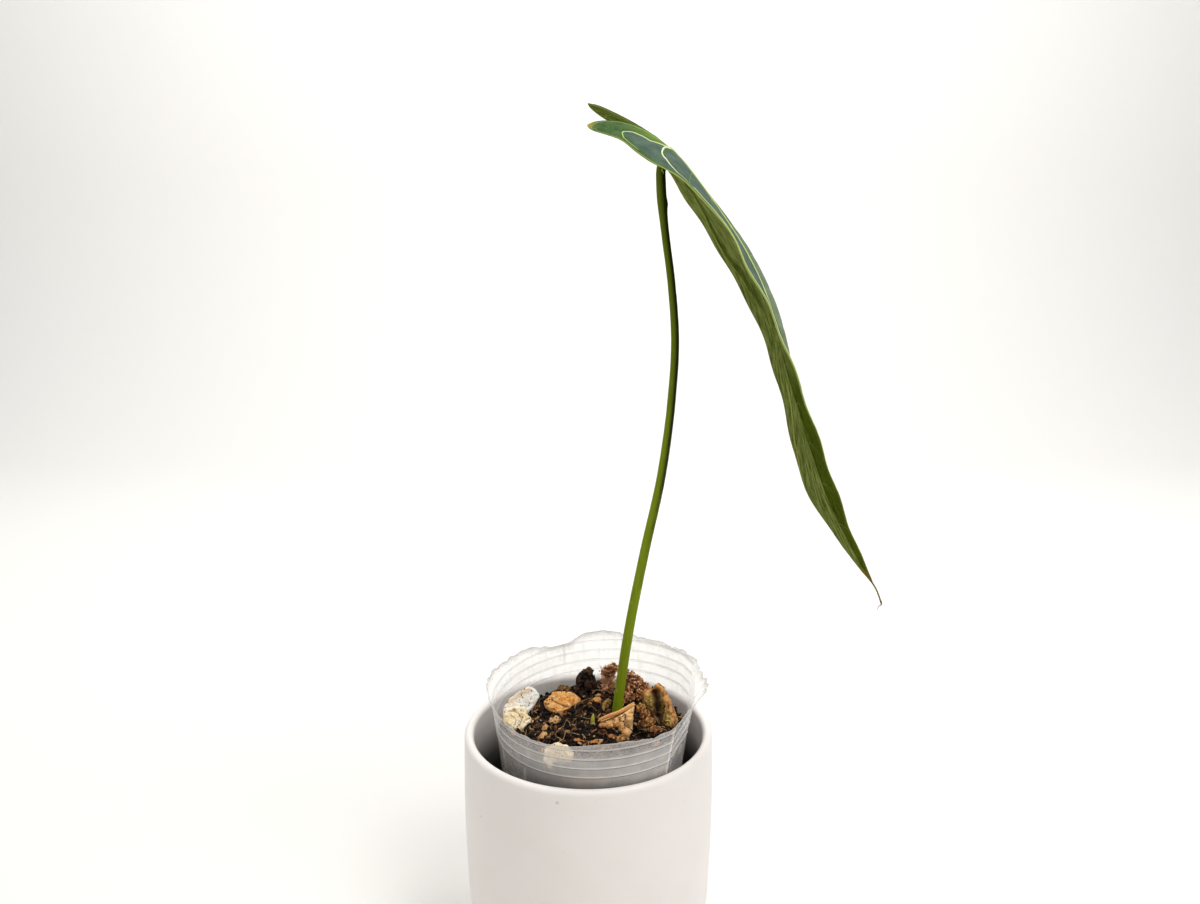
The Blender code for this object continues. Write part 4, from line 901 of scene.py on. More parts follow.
def random_turn(rng):
    spin = rng.normal(size=(3, 3))
    turn, _ = np.linalg.qr(spin)
    return turn if np.linalg.det(turn) > 0 else -turn


def crumb(rng, centre, size, shape=(1.0, 0.8, 0.65)):
    """An angular lump of a size, squashed to a shape and turned at random."""
    points = ICO_POINTS * rng.uniform(*CRUMB_ROUGHNESS, (12, 1)) * size * np.array(shape)
    return points @ random_turn(rng) + np.array(centre)


def random_place(rng, reach=0.985):
    """A random place on the mix, inside the cup's wall."""
    angle = rng.uniform(0, 2 * np.pi)
    wall = cup_ring(MIX_EDGE_LEVEL, CUP_WALL + MIX_CLEARANCE, np.array([angle]))[0]
    centre = cup_centre(MIX_EDGE_LEVEL)
    share = math.sqrt(rng.uniform(0, 1)) * reach
    return centre[0] + (wall[0] - centre[0]) * share, centre[1] + (wall[1] - centre[1]) * share


# Mound of reddish crumbs behind the petiole: its middle and its radius
RED_MOUND = (20.5, 14.0, 9.0)
# Clumps of reddish crumbs behind the petiole: the photograph's pixel, distance behind the pot's axis, radius
RED_CLUMPS = [(630, 677, 12, 3.0), (637, 682, 11, 3.0), (644, 688, 10, 2.6), (633, 690, 8, 3.4),
              (641, 696, 6, 3.0), (628, 698, 5, 2.6), (607, 672, 13, 2.6), (613, 668, 14, 2.6)]


def crumb_tone(rng, x, y):
    """Tone of a crumb at a place: mostly dark, and reddish brown on the mound behind the petiole."""
    if math.hypot(x - RED_MOUND[0], y - RED_MOUND[1]) < RED_MOUND[2]:
        return rng.uniform(0.45, 0.85)
    return rng.choice([rng.uniform(low, high) for low, high in CRUMB_TONES], p=CRUMB_TONE_SHARES)


def scatter_crumbs():
    """Crumbs all over the mix, with thin flakes of bark and a few white grains among them."""
    rng = np.random.default_rng(SEEDS["crumbs"])
    soil, flakes, grit, red = (Heap() for _ in range(4))
    while len(soil.tones) < CRUMBS:
        x, y = random_place(rng)
        size = 0.35 + 1.5 * rng.uniform(0, 1)**2.6
        if height_at(BARK_TREE, x, y) and size > 0.45:
            continue
        z = height_at(CARRIER_TREE, x, y) or ground(x, y)
        soil.add(crumb(rng, (x, y, z + 0.2 * size), size), ICO_FACES, crumb_tone(rng, x, y))
    for x, y, behind, radius in RED_CLUMPS:
        middle = np.array(at_depth(x, y, behind))
        for _ in range(CRUMBS_IN_RED_CLUMP):
            out = unit(rng.normal(size=3)) * radius * rng.uniform(0.4, 1.0)
            red.add(crumb(rng, middle + out, rng.uniform(0.3, 0.85)), ICO_FACES, rng.uniform(0.0, 1.0))
    while len(flakes.tones) < FLAKES:
        x, y = random_place(rng, 0.97)
        size = rng.uniform(0.8, 2.3)
        if height_at(BARK_TREE, x, y):
            continue
        shape = (1.0, rng.uniform(0.25, 0.5), rng.uniform(0.12, 0.25))
        points = crumb(rng, (x, y, ground(x, y) + 0.5), size, shape)
        flakes.add(points, ICO_FACES, rng.uniform(0.0, 1.0)**1.6)
    while len(grit.tones) < GRAINS:
        x, y = random_place(rng, 0.95)
        if not height_at(BARK_TREE, x, y):
            grit.add(crumb(rng, (x, y, ground(x, y) + 0.5), rng.uniform(0.3, 0.75)), ICO_FACES, 0.5)
    soil_mat = crumb_matter("mix_crumbs", (0.1, (12, 9, 8)), (0.4, (30, 21, 16)),
                            (0.62, (88, 54, 33)), (0.85, (146, 100, 60)), (1.0, (200, 156, 102)))
    flake_mat = crumb_matter("mix_flakes", (0.1, (42, 27, 18)), (0.4, (98, 65, 39)),
                             (0.7, (178, 132, 80)), (1.0, (214, 176, 124)))
    grit_mat = crumb_matter("mix_grit", (0.3, (206, 200, 188)), (0.7, (236, 232, 224)))
    red_mat = crumb_matter("red_crumbs", (0.0, (60, 38, 26)), (0.4, (144, 92, 58)),
                           (0.7, (200, 142, 94)), (1.0, (228, 182, 138)))
    soil.piece("mix_crumbs", soil_mat, "potting_mix", sharp=CRUMB_SHARP)
    red.piece("red_crumbs", red_mat, "coir", sharp=CRUMB_SHARP)
    flakes.piece("mix_flakes", flake_mat, "tan_bark", sharp=CRUMB_SHARP)
    grit.piece("mix_grit", grit_mat, "pale_bark", sharp=CRUMB_SHARP)


def past_wall(x, y):
    """Whether a place is outside the cup or close to its wall."""
    right = x - CUP_RING_CENTRE[0]
    back = y - CUP_RING_CENTRE[1]
    wall = cup_ring(MIX_CENTRE_LEVEL, FIBRE_WALL_GAP, np.array([math.atan2(back, right)]))[0]
    return math.hypot(right, back) > math.hypot(wall[0] - CUP_RING_CENTRE[0], wall[1] - CUP_RING_CENTRE[1])


def scatter_fibres():
    """Thin bent fibres and rootlets that lie over the crumbs."""
    rng = np.random.default_rng(SEEDS["fibres"])
    fibres = Heap()
    while len(fibres.tones) < FIBRES:
        x, y = random_place(rng, 0.93)
        heading = rng.uniform(0, 2 * np.pi)
        bend = rng.uniform(-1.4, 1.4)
        length = rng.uniform(3.0, 12.0)
        arch = rng.uniform(0.2, 1.8)
        path = []
        for t in np.linspace(0, 1, 9):
            px = x + length * t * math.cos(heading + bend * t)
            py = y + length * t * math.sin(heading + bend * t)
            if past_wall(px, py) or height_at(BARK_TREE, px, py):
                break
            z = ground(px, py)
            path.append((px, py, z + 0.3 + arch * math.sin(math.pi * t) + rng.uniform(-0.15, 0.15)))
        if len(path) < 5:
            continue
        path = smooth_path(path, 16)
        radius = rng.uniform(0.07, 0.2)
        fibres.add(*tube(path, radius * np.linspace(1.0, 0.5, 16), 5), rng.uniform(0, 1))
    mat = crumb_matter("mix_fibres", (0.1, (58, 34, 20)), (0.45, (120, 78, 46)),
                       (0.75, (176, 134, 88)), (1.0, (212, 180, 132)))
    fibres.piece("mix_fibres", mat, "coir")


# Bark

def read_vectors(rows, label):
    numbers = np.zeros(len(rows) * 3, np.float32)
    rows.foreach_get(label, numbers)
    return numbers.reshape(-1, 3)


def sculpt(node, mat, relief, voxel=0.3, marks=()):
    """A finer copy of a solid, moved along its normals by a relief and by its marks.

    A mark is a kind, a line of the photograph's pixels, a depth and a width.
    """
    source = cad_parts[node]
    copy = add_to_scene(node + "_fine", source.data.copy())
    remesh = copy.modifiers.new("fine", "REMESH")
    remesh.mode = "VOXEL"
    remesh.voxel_size = voxel * MM
    remesh.adaptivity = 0.0
    soften = copy.modifiers.new("soften", "SMOOTH")
    soften.factor = 0.5
    soften.iterations = 3
    graph = bpy.context.evaluated_depsgraph_get()
    mesh = bpy.data.meshes.new_from_object(copy.evaluated_get(graph))
    points = read_vectors(mesh.vertices, "co").astype(float) / MM
    normals = read_vectors(mesh.vertex_normals, "vector")
    faces = [tuple(p.vertices) for p in mesh.polygons]
    bpy.data.objects.remove(copy)
    tree = tree_of(node)
    shift = relief(points)
    values = {kind: np.zeros(len(points)) for kind in ("crack", "hollow", "rind", "tufts")}
    # Painted shade wherever the relief pushes the surface in
    values["hollow"] = np.clip(-shift * 1.2 - 0.15, 0, 1)
    for kind, pixels, depth, width in marks:
        line = smooth_path([tuple(seen(x, y, tree, points[:, 1].mean())) for x, y in pixels], 40)
        away = np.sqrt(((points[:, None, :] - line[None, :, :])**2).sum(-1)).min(1)
        share = bell(away, width)
        shift -= depth * share
        values[kind] = np.maximum(values[kind], share)
    add_piece(node + "_piece", points + normals * shift[:, None], faces, [mat], [node], values)


def flaky(height, size, stretch=(1.0, 1.0, 1.0), fine=0.12):
    """A relief of lumps of a size, drawn out along an axis, with fine roughness on them."""
    def relief(points):
        drawn = points * np.array(stretch)
        ridged = 0.5 - np.abs(lumps(drawn, size, 3))
        return height * 1.6 * (ridged - 0.25) + fine * lumps(points, 0.8, 2, 3.0)
    return relief


# Marks on the bark, as sculpt reads them; a hollow mark digs in and paints shade along it
ORANGE_MARKS = [("crack", [(548.5, 697), (553.5, 701), (560.5, 704.5), (568.5, 707.2)], 0.5, 0.3)]
WHITE_MARKS = [("rind", [(503, 709), (508, 702), (515, 697), (522, 692), (529, 690)], 0.0, 1.5)]
CREAM_MARKS = [("crack", [(507, 712), (513, 711), (519, 714), (521.5, 720), (519, 726)], 0.4, 0.25),
               ("crack", [(511, 716), (515, 718.5), (515.5, 724), (513, 728)], 0.3, 0.2)]
CURL_MARKS = [("crack", [(625.5, 715.5), (625, 721), (624.5, 726)], 0.9, 0.4),
              ("crack", [(622.5, 723), (628, 727.5), (631.5, 730.5)], 0.5, 0.3),
              ("hollow", [(603, 727), (606, 730), (611, 730), (617, 731)], 1.4, 1.5),
              ("rind", [(628.5, 717), (629.5, 724), (629, 731)], -0.5, 1.2),
              ("hollow", [(619.5, 718), (620, 724), (622, 731)], 0.9, 0.6)]
MOSSY_MARKS = [("rind", [(643, 692.5), (649, 687), (655, 684.5), (660.5, 687.5), (664.5, 694.5),
                         (667.5, 702.5)], -0.7, 0.95),
               ("hollow", [(654.5, 692.5), (656.5, 699), (657.5, 707), (659, 717), (660, 727)], 2.2, 1.7),
               ("hollow", [(644, 708), (650, 712), (655, 720), (656, 728)], 1.4, 1.7),
               ("tufts", [(645, 697), (651, 701), (649, 705)], -1.0, 2.4),
               ("tufts", [(664, 702), (667, 713), (668, 722), (667, 730)], -0.9, 2.2),
               ("rind", [(669.5, 708.5), (673, 714.5), (676.5, 720.5)], -0.3, 0.5)]


def make_bark():
    white = bark("bark_white", (232, 218, 194), (252, 247, 238), (255, 253, 250), 7.0,
                 (0.3, 1.0, 1.0), (0, 0, 28), bloom=0.2, pit_and_hollow_shade=(212, 198, 184), rind=(204, 166, 104))
    cream = bark("bark_cream_face", (216, 178, 124), (244, 222, 178), (254, 246, 222), 4.0,
                 pit_and_hollow_shade=(196, 152, 98), crack=(168, 116, 68))
    orange = bark("bark_orange_face", (172, 100, 40), (232, 164, 88), (248, 204, 142),
                  grain=(1.0, 0.5, 0.5), pit_and_hollow_shade=(124, 66, 28), crack=(96, 54, 26))
    tan = bark("bark_tan", (150, 104, 60), (208, 160, 104), (234, 200, 150))
    dark = bark("bark_dark_face", (12, 9, 8), (32, 23, 18), (104, 72, 46), pit_and_hollow_shade=(10, 8, 7))
    mossy = bark("bark_mossy_face", (80, 54, 30), (190, 136, 78), (242, 196, 134),
                 grain=(1.0, 1.0, 0.35), moss=0.06, pit_and_hollow_shade=(14, 10, 8), rind=(212, 146, 80))
    curl = bark("bark_curl_face", (176, 116, 64), (244, 194, 130), (255, 234, 194),
                grain=(0.35, 1.0, 1.0), pit_and_hollow_shade=(70, 44, 26), rind=(244, 192, 130))
    flake = bark("bark_flake", (140, 84, 38), (198, 136, 74), (224, 174, 114), 4.0)
    mossy_bit = bark("bark_mossy_bit", (70, 50, 26), (152, 112, 60), (198, 158, 98), moss=0.08)
    sculpt("bark_pale_back", white, flaky(0.3, 3.0, (0.4, 0.8, 1.0)), marks=WHITE_MARKS)
    sculpt("bark_pale_front", cream, flaky(0.4, 2.6), marks=CREAM_MARKS)
    sculpt("bark_cream", cream, flaky(0.3, 2.6))
    sculpt("bark_orange", orange, flaky(0.45, 2.4), marks=ORANGE_MARKS)
    sculpt("bark_front", flake, flaky(0.25, 1.8), 0.22)
    sculpt("bark_dark", dark, flaky(1.7, 2.2, (1.0, 1.0, 0.5), 0.4))
    sculpt("bark_mossy", mossy, flaky(0.9, 2.6, (1.0, 1.0, 0.5), 0.25), 0.25, MOSSY_MARKS)
    sculpt("bark_curl", curl, flaky(0.5, 2.0, (0.5, 1.0, 1.0), 0.2), 0.24, CURL_MARKS)
    for node in ("bark_bit_left", "bark_bit_middle", "bark_bit_front"):
        sculpt(node, tan, flaky(0.3, 1.6), 0.22)
    for node in ("bark_bit_back", "bark_bit_stem"):
        sculpt(node, mossy_bit, flaky(0.35, 1.8), 0.22)
    sculpt("bark_bit_orange", flake, flaky(0.25, 1.6), 0.22)
    make_curl_strips()
    make_lumps()


# Strips of bark that peel off the curled piece: stations of the photograph's pixel and the distance behind
# the pot's axis, with a radius and a tone
CURL_STRIPS = [([(598, 721, -21), (607, 717, -21), (617, 713.5, -21), (627, 709, -20), (635.5, 704.5, -19)],
                0.62, 0.62),
               ([(599, 719, -20), (609, 715, -20), (619, 711.5, -20), (630, 705, -19), (634, 702.5, -18)],
                0.5, 0.85),
               ([(600, 722.5, -21.4), (610, 719, -21.4), (620, 714.5, -21), (629, 709, -20)], 0.35, 0.1)]

# Lumps of bark that lean on the larger pieces: the photograph's pixel, distance behind the pot's axis, sizes
# and a tone
LUMPS = [(602.5, 725.5, -21.5, (1.6, 1.2, 1.1), 0.55), (609, 725, -22.0, (1.9, 1.2, 1.2), 0.7),
         (616, 724, -22.0, (1.5, 1.2, 1.6), 0.6), (621.5, 727, -23.0, (1.2, 1.0, 2.2), 0.75),
         (628.5, 721, -22.5, (1.3, 1.0, 2.4), 0.78), (626, 733.5, -24.5, (1.6, 1.0, 1.5), 0.7),
         (612, 738, -26.0, (2.6, 1.6, 1.3), 0.3), (620, 739.5, -26.5, (2.4, 1.6, 1.2), 0.35),
         (641, 708, -14.0, (1.9, 1.6, 1.9), 0.4), (645, 715, -16.0, (2.1, 1.6, 2.2), 0.3),
         (650, 722, -18.0, (2.3, 1.6, 1.9), 0.35), (643, 724, -19.5, (1.9, 1.4, 1.7), 0.25),
         (655, 729, -20.0, (2.4, 1.6, 1.2), 0.3), (603, 732, -25.0, (1.6, 1.2, 1.0), 0.05)]


def make_lumps():
    """Rough rounded lumps, each a sphere stretched to its sizes and pushed in and out by noise."""
    heap = Heap()
    rows = np.linspace(0, np.pi, 26)[1:-1]
    turn = full_turn(36)
    points, faces = capped([round_ring(np.sin(r), np.cos(r), turn) for r in rows[::-1]])
    points = unit(points)
    for x, y, behind, sizes, tone in LUMPS:
        middle = np.array(at_depth(x, y, behind))
        shape = points * np.array(sizes)
        rough = 1 + 0.3 * lumps(shape + middle, 1.3, 3) + 0.1 * lumps(shape + middle, 0.45, 2)
        # Tones: random, and lower where the noise pushes the surface in, as painted shade in its dips
        tones = np.clip(tone + 0.35 * lumps(shape + middle, 0.9, 3, 5.0) + 0.5 * (rough - 1), 0, 1)
        heap.add(shape * rough[:, None] + middle, faces, tones)
    mat = crumb_matter("bark_lumps", (0.0, (30, 20, 14)), (0.3, (122, 80, 42)),
                       (0.6, (214, 154, 90)), (1.0, (248, 206, 144)))
    heap.piece("bark_lumps", mat, "orange_bark")


def make_curl_strips():
    heap = Heap()
    for stations, radius, tone in CURL_STRIPS:
        path = smooth_path([tuple(at_depth(*station)) for station in stations], 40)
        swell = 0.35 + 0.65 * np.sin(np.pi * np.linspace(0.1, 0.95, 40))
        radii = radius * swell * (1 + 0.14 * lumps(path, 1.2, 2))
        heap.add(*tube(path, radii, 9), tone)
    mat = crumb_matter("curl_strips", (0.0, (108, 58, 26)), (0.4, (172, 106, 52)),
                       (0.7, (220, 158, 92)), (1.0, (248, 206, 148)))
    heap.piece("bark_curl_strips", mat, "orange_bark")


def make_coir():
    """A tuft of coarse fibres that spring from a crumbly core."""
    rng = np.random.default_rng(SEEDS["coir"])
    low, high = (np.array(corner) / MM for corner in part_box("coir_clump"))
    centre = (low + high) / 2
    centre[2] = low[2] + 2.5
    reach = high[2] - low[2]
    tuft = Heap()
    for _ in range(COIR_CRUMBS):
        level = rng.uniform(0, 1)**1.3 * (reach - 4.0)
        out = rng.uniform(0, 3.6) * (1 - 0.35 * level / reach)
        heading = rng.uniform(0, 2 * np.pi)
        start = centre + np.array([out * math.cos(heading), out * math.sin(heading), level - 1.0])
        tuft.add(crumb(rng, start, rng.uniform(0.5, 1.4)), ICO_FACES, rng.uniform(0.1, 0.9))
    for _ in range(COIR_FIBRES):
        heading = rng.uniform(0, 2 * np.pi)
        level = rng.uniform(0, reach - 5.0)
        out = rng.uniform(0, 1.8)
        start = centre + np.array([out * math.cos(heading), out * math.sin(heading), level - 1.0])
        lean = np.array([math.cos(heading + rng.uniform(-1, 1)), math.sin(heading + rng.uniform(-1, 1)),
                         rng.uniform(0.2, 2.4)])
        lean *= rng.uniform(1.8, 5.5) / np.linalg.norm(lean)
        curve = rng.normal(size=3) * 0.7
        path = [start + lean * t + curve * math.sin(2.2 * t) * t for t in np.linspace(0, 1, 7)]
        path = np.clip(path, low - (2.6, 2.6, 0.6), high + (2.2, 2.2, 0.8))
        radius = rng.uniform(0.08, 0.22)
        tuft.add(*tube(path, radius * np.linspace(1, 0.45, 7), 4), rng.uniform(0.3, 1.0))
    mat = crumb_matter("coir_fibre", (0.0, (120, 74, 50)), (0.4, (206, 142, 102)),
                       (0.7, (236, 182, 140)), (1.0, (250, 218, 186)))
    tuft.piece("coir_tuft", mat, "coir", ["coir_clump"])


# Leaf

def guide_table():
    """The midrib's line in space, from its slope: it runs on behind the node to carry the lobes."""
    u = np.arange(GUIDE_START, GUIDE_END, GUIDE_STEP)
    slope = np.radians(through(SLOPE, u))
    dx = np.cos(slope)
    dz = -np.sin(slope)
    x = np.concatenate([[0.0], np.cumsum((dx[1:] + dx[:-1]) / 2 * GUIDE_STEP)])
    z = np.concatenate([[0.0], np.cumsum((dz[1:] + dz[:-1]) / 2 * GUIDE_STEP)])
    x += LEAF_NODE[0] - np.interp(0.0, u, x)
    z += LEAF_NODE[2] - np.interp(0.0, u, z)
    y = LEAF_NODE[1] + LEAF_SWAY * u / LEAF_LENGTH
    return u, np.stack([x, y, z], axis=1)


GUIDE_U, GUIDE_POINTS = guide_table()


def guide_point(u):
    return np.stack([np.interp(u, GUIDE_U, GUIDE_POINTS[:, i]) for i in range(3)], axis=-1)


def lobe_of(side):
    return NEAR_LOBE if side < 0 else FAR_LOBE


def half_width(u, side):
    """Width of half the blade: a rounded lobe, then a long taper that ends in a thin tail."""
    u = np.asarray(u, float)
    length, offset, roundness = lobe_of(side)
    reach = rise(u, LEAF_WIDEST, -(LEAF_WIDEST + length))
    lobe = offset + (LEAF_HALF_WIDTH - offset) * (1 - reach**roundness)**(1 / roundness)
    t = rise(u, LEAF_WIDEST, LEAF_LENGTH - LEAF_WIDEST)
    narrowing = rise(u, TAIL_SHOULDER[0], TAIL_SHOULDER[1] - TAIL_SHOULDER[0])
    fade = 1 - narrowing**2 * (3 - 2 * narrowing)
    taper = LEAF_HALF_WIDTH * (1 - t**LEAF_TAPER[0])**LEAF_TAPER[1] * fade
    return np.where(u < LEAF_WIDEST, lobe, np.maximum(taper, LEAF_TIP_HALF_WIDTH))


def vein_start(a):
    """Where vein number a leaves the midrib. The basal veins all leave at the node."""
    t = np.clip((a - BASAL_VEINS) / MIDRIB_VEINS, 0, None)
    return LEAF_LENGTH * ((1 - VEIN_CROWDING) * t + VEIN_CROWDING * t**2)


def vein_end(a, side):
    """Where vein number a meets the margin, along u."""
    length = lobe_of(side)[0]
    basal = -length + (length - 1.0) * np.clip(a / BASAL_VEINS, 0, 1)**LOBE_VEIN_SPACING
    t = rise(a, BASAL_VEINS, MIDRIB_VEINS)
    sweep = VEIN_SWEEP * np.sin(np.pi * np.minimum(t * 1.15, 1.0))**0.7
    later = np.minimum(vein_start(a) - (1 - t) + sweep * (1 - t**3), LEAF_LENGTH)
    return np.where(a <= BASAL_VEINS, basal, later)


def flat_point(a, b, side):
    """Place (u, v) in the flat blade of the point at share b along vein a, which curves forwards."""
    start = vein_start(a)
    end_u = vein_end(a, side)
    end_v = half_width(end_u, side)
    turn = np.minimum(a / BASAL_VEINS, 1.0)
    heading = np.radians(VEIN_HEADING[0] + (VEIN_HEADING[1] - VEIN_HEADING[0]) * turn**VEIN_HEADING_TURN)
    lead = (VEIN_LEAD[0] + (VEIN_LEAD[1] - VEIN_LEAD[0]) * turn) * np.hypot(end_u - start, end_v)
    u = (1 - b)**2 * start + 2 * b * (1 - b) * (start + lead * np.cos(heading)) + b**2 * end_u
    v = 2 * b * (1 - b) * lead * np.sin(heading) + b**2 * end_v
    return u, v


def blade_point(u, v, side):
    """Places in space of flat points, with their normals. Side is -1 for the near half, +1 for the far."""
    along = unit(guide_point(u + GUIDE_STEP) - guide_point(u - GUIDE_STEP))
    away = np.array(FAR_SIDE) - along * along[..., 1:2]
    away = unit(away)
    under = np.cross(along, away)
    under = under * -np.sign(under[..., 2:3])
    droop = through(NEAR_DROOP if side < 0 else FAR_DROOP, u)
    arch = through(NEAR_ARCH if side < 0 else FAR_ARCH, u)
    bend = 2 * np.radians(arch) / half_width(np.minimum(u, LEAF_LENGTH), side)
    bend = np.where(np.abs(bend) < STRAIGHT, STRAIGHT, bend)
    first = np.radians(droop - arch)
    last = first + bend * v
    across = ((np.sin(last) - np.sin(first)) / bend)[..., None]
    down = ((np.cos(first) - np.cos(last)) / bend)[..., None]
    up = side * np.sin(last)[..., None] * away - np.cos(last)[..., None] * under
    return guide_point(u) + side * across * away + down * under, up


def margin_wave(u, b, side):
    wave = MARGIN_WAVE * b**3 * np.sin(MARGIN_WAVE_PER_MM * u + MARGIN_WAVE_SHIFT * side)
    return wave * np.minimum(1.0, half_width(u, side) / MARGIN_WAVE_FULL_WIDTH)


def fine_lines():
    lines = [whole + part for whole in range(BASAL_VEINS + MIDRIB_VEINS) for part in FINE_LINES]
    return np.array(lines + [BASAL_VEINS + MIDRIB_VEINS], float)


def fine_rows():
    """Shares from the midrib to the margin, closer together at both."""
    even = np.linspace(0, 1, FINE_ROWS)
    return 0.5 * even + 0.5 * (0.5 - 0.5 * np.cos(np.pi * even))


def vein_distance(a, b, side):
    """Distance in the flat blade to the nearest vein."""
    low = np.floor(np.minimum(a, BASAL_VEINS + MIDRIB_VEINS - 1e-6))
    u_low, v_low = flat_point(low, b, side)
    u_high, v_high = flat_point(low + 1, b, side)
    part = a - low
    return np.hypot(u_high - u_low, v_high - v_low) * np.minimum(part, 1 - part)


def blade_half(side):
    """Grids of the upper and the lower points of one half, with the numbers its materials use."""
    a, b = np.meshgrid(fine_lines(), fine_rows(), indexing="ij")
    u, v = flat_point(a, b, side)
    point, up = blade_point(u, v, side)
    away = vein_distance(a, b, side)
    full = np.minimum(1.0, half_width(u, side) / VEIN_RELIEF_FULL_WIDTH)
    fade = np.sin(np.pi * np.minimum(b / COLLECTIVE_VEIN, 1.0))
    swell = VEIN_RELIEF * (1 - 2 * bell(away, VEIN_RELIEF_WIDTH)) * fade * full * (0.3 if side > 0 else 1.0)
    reach = np.hypot(*(np.array(flat_point(a, np.ones_like(b), side)) - np.array([u, v])))
    collective = bell((b - COLLECTIVE_VEIN) * half_width(u, side), 0.8) * full * (b > 0.5)
    fine = lumps(np.stack([u, v * side, 0 * u], -1).reshape(-1, 3), 2.2, 2).reshape(u.shape) * 0.06 * full
    keel = MIDRIB_KEEL * np.clip(u / MIDRIB_KEEL_RUN_IN, 0, 1) * (1 - MIDRIB_KEEL_TAPER * u / LEAF_LENGTH)
    keel = keel * bell(v, MIDRIB_KEEL_WIDTH * (0.4 + 0.6 * full)) * (a >= BASAL_VEINS)
    middle = point + up * (swell - 0.2 * collective + margin_wave(u, b, side) + fine)[..., None]
    edge = 0.45 + 0.55 * rise(reach, 0, 2.0)
    thick = BLADE_THICKNESS / 2 * edge * np.clip((203.0 - u) / 12, 0.6, 1)
    upper = middle + up * (thick - 0.1 * keel)[..., None]
    lower = middle - up * (thick + keel)[..., None]
    return upper, lower, {"vein": away, "margin": reach, **colour_zones(u, v, side)}


def colour_zones(u, v, side):
    """Places in the flat blade, and shares from 0 to 1 that say where its colours change, painted shade and
    painted sheen among them.
    """
    wide = half_width(u, side)
    share = v / wide
    within = np.interp(u, *zip(*HAIRPIN_ARM)) - v
    sinus = rise(within, 0, 3.0) * rise(u, -19, 12)
    outer = rise(share, np.interp(u, *zip(*GREEN_ZONE)), 0.16)
    outer = np.maximum(outer, rise(within, 0, 2.0) * (u < 0))
    inside = wide * (np.interp(u, *zip(*FAR_MARGINAL)) - share)
    band = bell(inside - 1.7, 1.2) * rise(u, 8, 10) * rise(u, 82, -14)
    # Painted shade on the underside: the near half, more past its middle, and the far lobe; the far half
    # also darkens along its marginal vein
    near_under_shade = 0.35 + 0.65 * rise(u, 85, 20)
    under_shade = near_under_shade if side < 0 else 0.1 + 0.9 * band + 0.6 * rise(u, 8, -12)
    lobe_end = rise(u, 3.2 - lobe_of(side)[0], -3.0) * (side < 0)
    dry = np.maximum(lobe_end, np.minimum(rise(u, 183, 5), 0.9))
    # Painted shade in the fold near the midrib, and a painted sheen over the far half
    groove_shade = 0.9 * rise(u, 34, 34) * rise(u, 116, -24) * bell(v, 17.0) * (side < 0)
    painted_sheen = rise(u, 20, 40) * (side > 0)
    return {"along": u, "out": v, "sinus": sinus, "outer": outer, "under_shade": under_shade, "dry": dry, "groove_shade": groove_shade,
            "painted_sheen": painted_sheen}


def make_blade():
    """Both halves as one closed sheet: they share the midrib, and the basal lines share the node."""
    lines = len(fine_lines())
    first_shared = BASAL_VEINS * len(FINE_LINES)
    points = []
    faces = []
    parts = []
    values = {}
    midrib = {}
    count = 0
    grids = []
    for side in (-1, 1):
        upper, lower, numbers = blade_half(side)
        index = np.zeros((2, lines, FINE_ROWS), int)
        for layer, grid in enumerate((upper, lower)):
            for i in range(lines):
                for j in range(FINE_ROWS):
                    shared = (layer, max(i, first_shared))
                    if j == 0 and shared in midrib:
                        index[layer, i, j] = midrib[shared]
                        continue
                    if j == 0:
                        midrib[shared] = count
                    index[layer, i, j] = count
                    points.append(grid[i, j])
                    for label in numbers:
                        values.setdefault(label, []).append(numbers[label][i, j])
                    count += 1
        grids.append(index)
    for side, index in zip((-1, 1), grids):
        for layer in (0, 1):
            grid = index[layer]
            for i in range(lines - 1):
                for j in range(FINE_ROWS - 1):
                    ring = [grid[i, j], grid[i + 1, j], grid[i + 1, j + 1], grid[i, j + 1]]
                    ring = [c for k, c in enumerate(ring) if c != ring[k - 1]]
                    faces.append(ring[::-1] if (side > 0) != (layer > 0) else ring)
                    parts.append(layer)
        rim = [(0, j) for j in range(FINE_ROWS)] + [(i, FINE_ROWS - 1) for i in range(1, lines)]
        rim += [(lines - 1, j) for j in range(FINE_ROWS - 2, -1, -1)]
        for (i, j), (k, l) in zip(rim[:-1], rim[1:]):
            ring = [index[0, i, j], index[0, k, l], index[1, k, l], index[1, i, j]]
            faces.append(ring if side > 0 else ring[::-1])
            parts.append(2)
    add_piece("leaf_surface", points, faces, [leaf_top(), leaf_under(), leaf_edge()],
              ["leaf_blade"], values, parts)
    return BVHTree.FromPolygons([tuple(p) for p in points], faces)


def on_face(tree, flat, side, face):
    """Where a line of the flat blade lies on one face of the real blade, with that face's normals."""
    point, up = blade_point(flat[:, 0], flat[:, 1], side)
    normals = up * face
    places = []
    for middle, normal in zip(point, normals):
        hit = tree.ray_cast(Vector(middle + normal * VEIN_SEARCH), Vector(-normal), 2 * VEIN_SEARCH)[0]
        places.append(tuple(hit) if hit else tuple(middle + normal * BLADE_THICKNESS / 2))
    return np.array(places), normals


def lateral_vein(a, side):
    """A vein from the midrib to the marginal vein, in the flat blade."""
    b = np.linspace(0.02, COLLECTIVE_VEIN, 26)
    return np.stack(flat_point(np.full_like(b, float(a)), b, side), 1)


def marginal_vein(side):
    """The vein that runs along the margin from the first lateral to near the tip."""
    u = np.linspace(*MARGINAL_RUN)
    share = np.interp(u, *zip(*(NEAR_MARGINAL if side < 0 else FAR_MARGINAL)))
    wander = 0.18 * np.sin(0.41 * u) + 0.1 * np.sin(1.13 * u)
    return np.stack([u, half_width(u, side) * share + wander], 1)


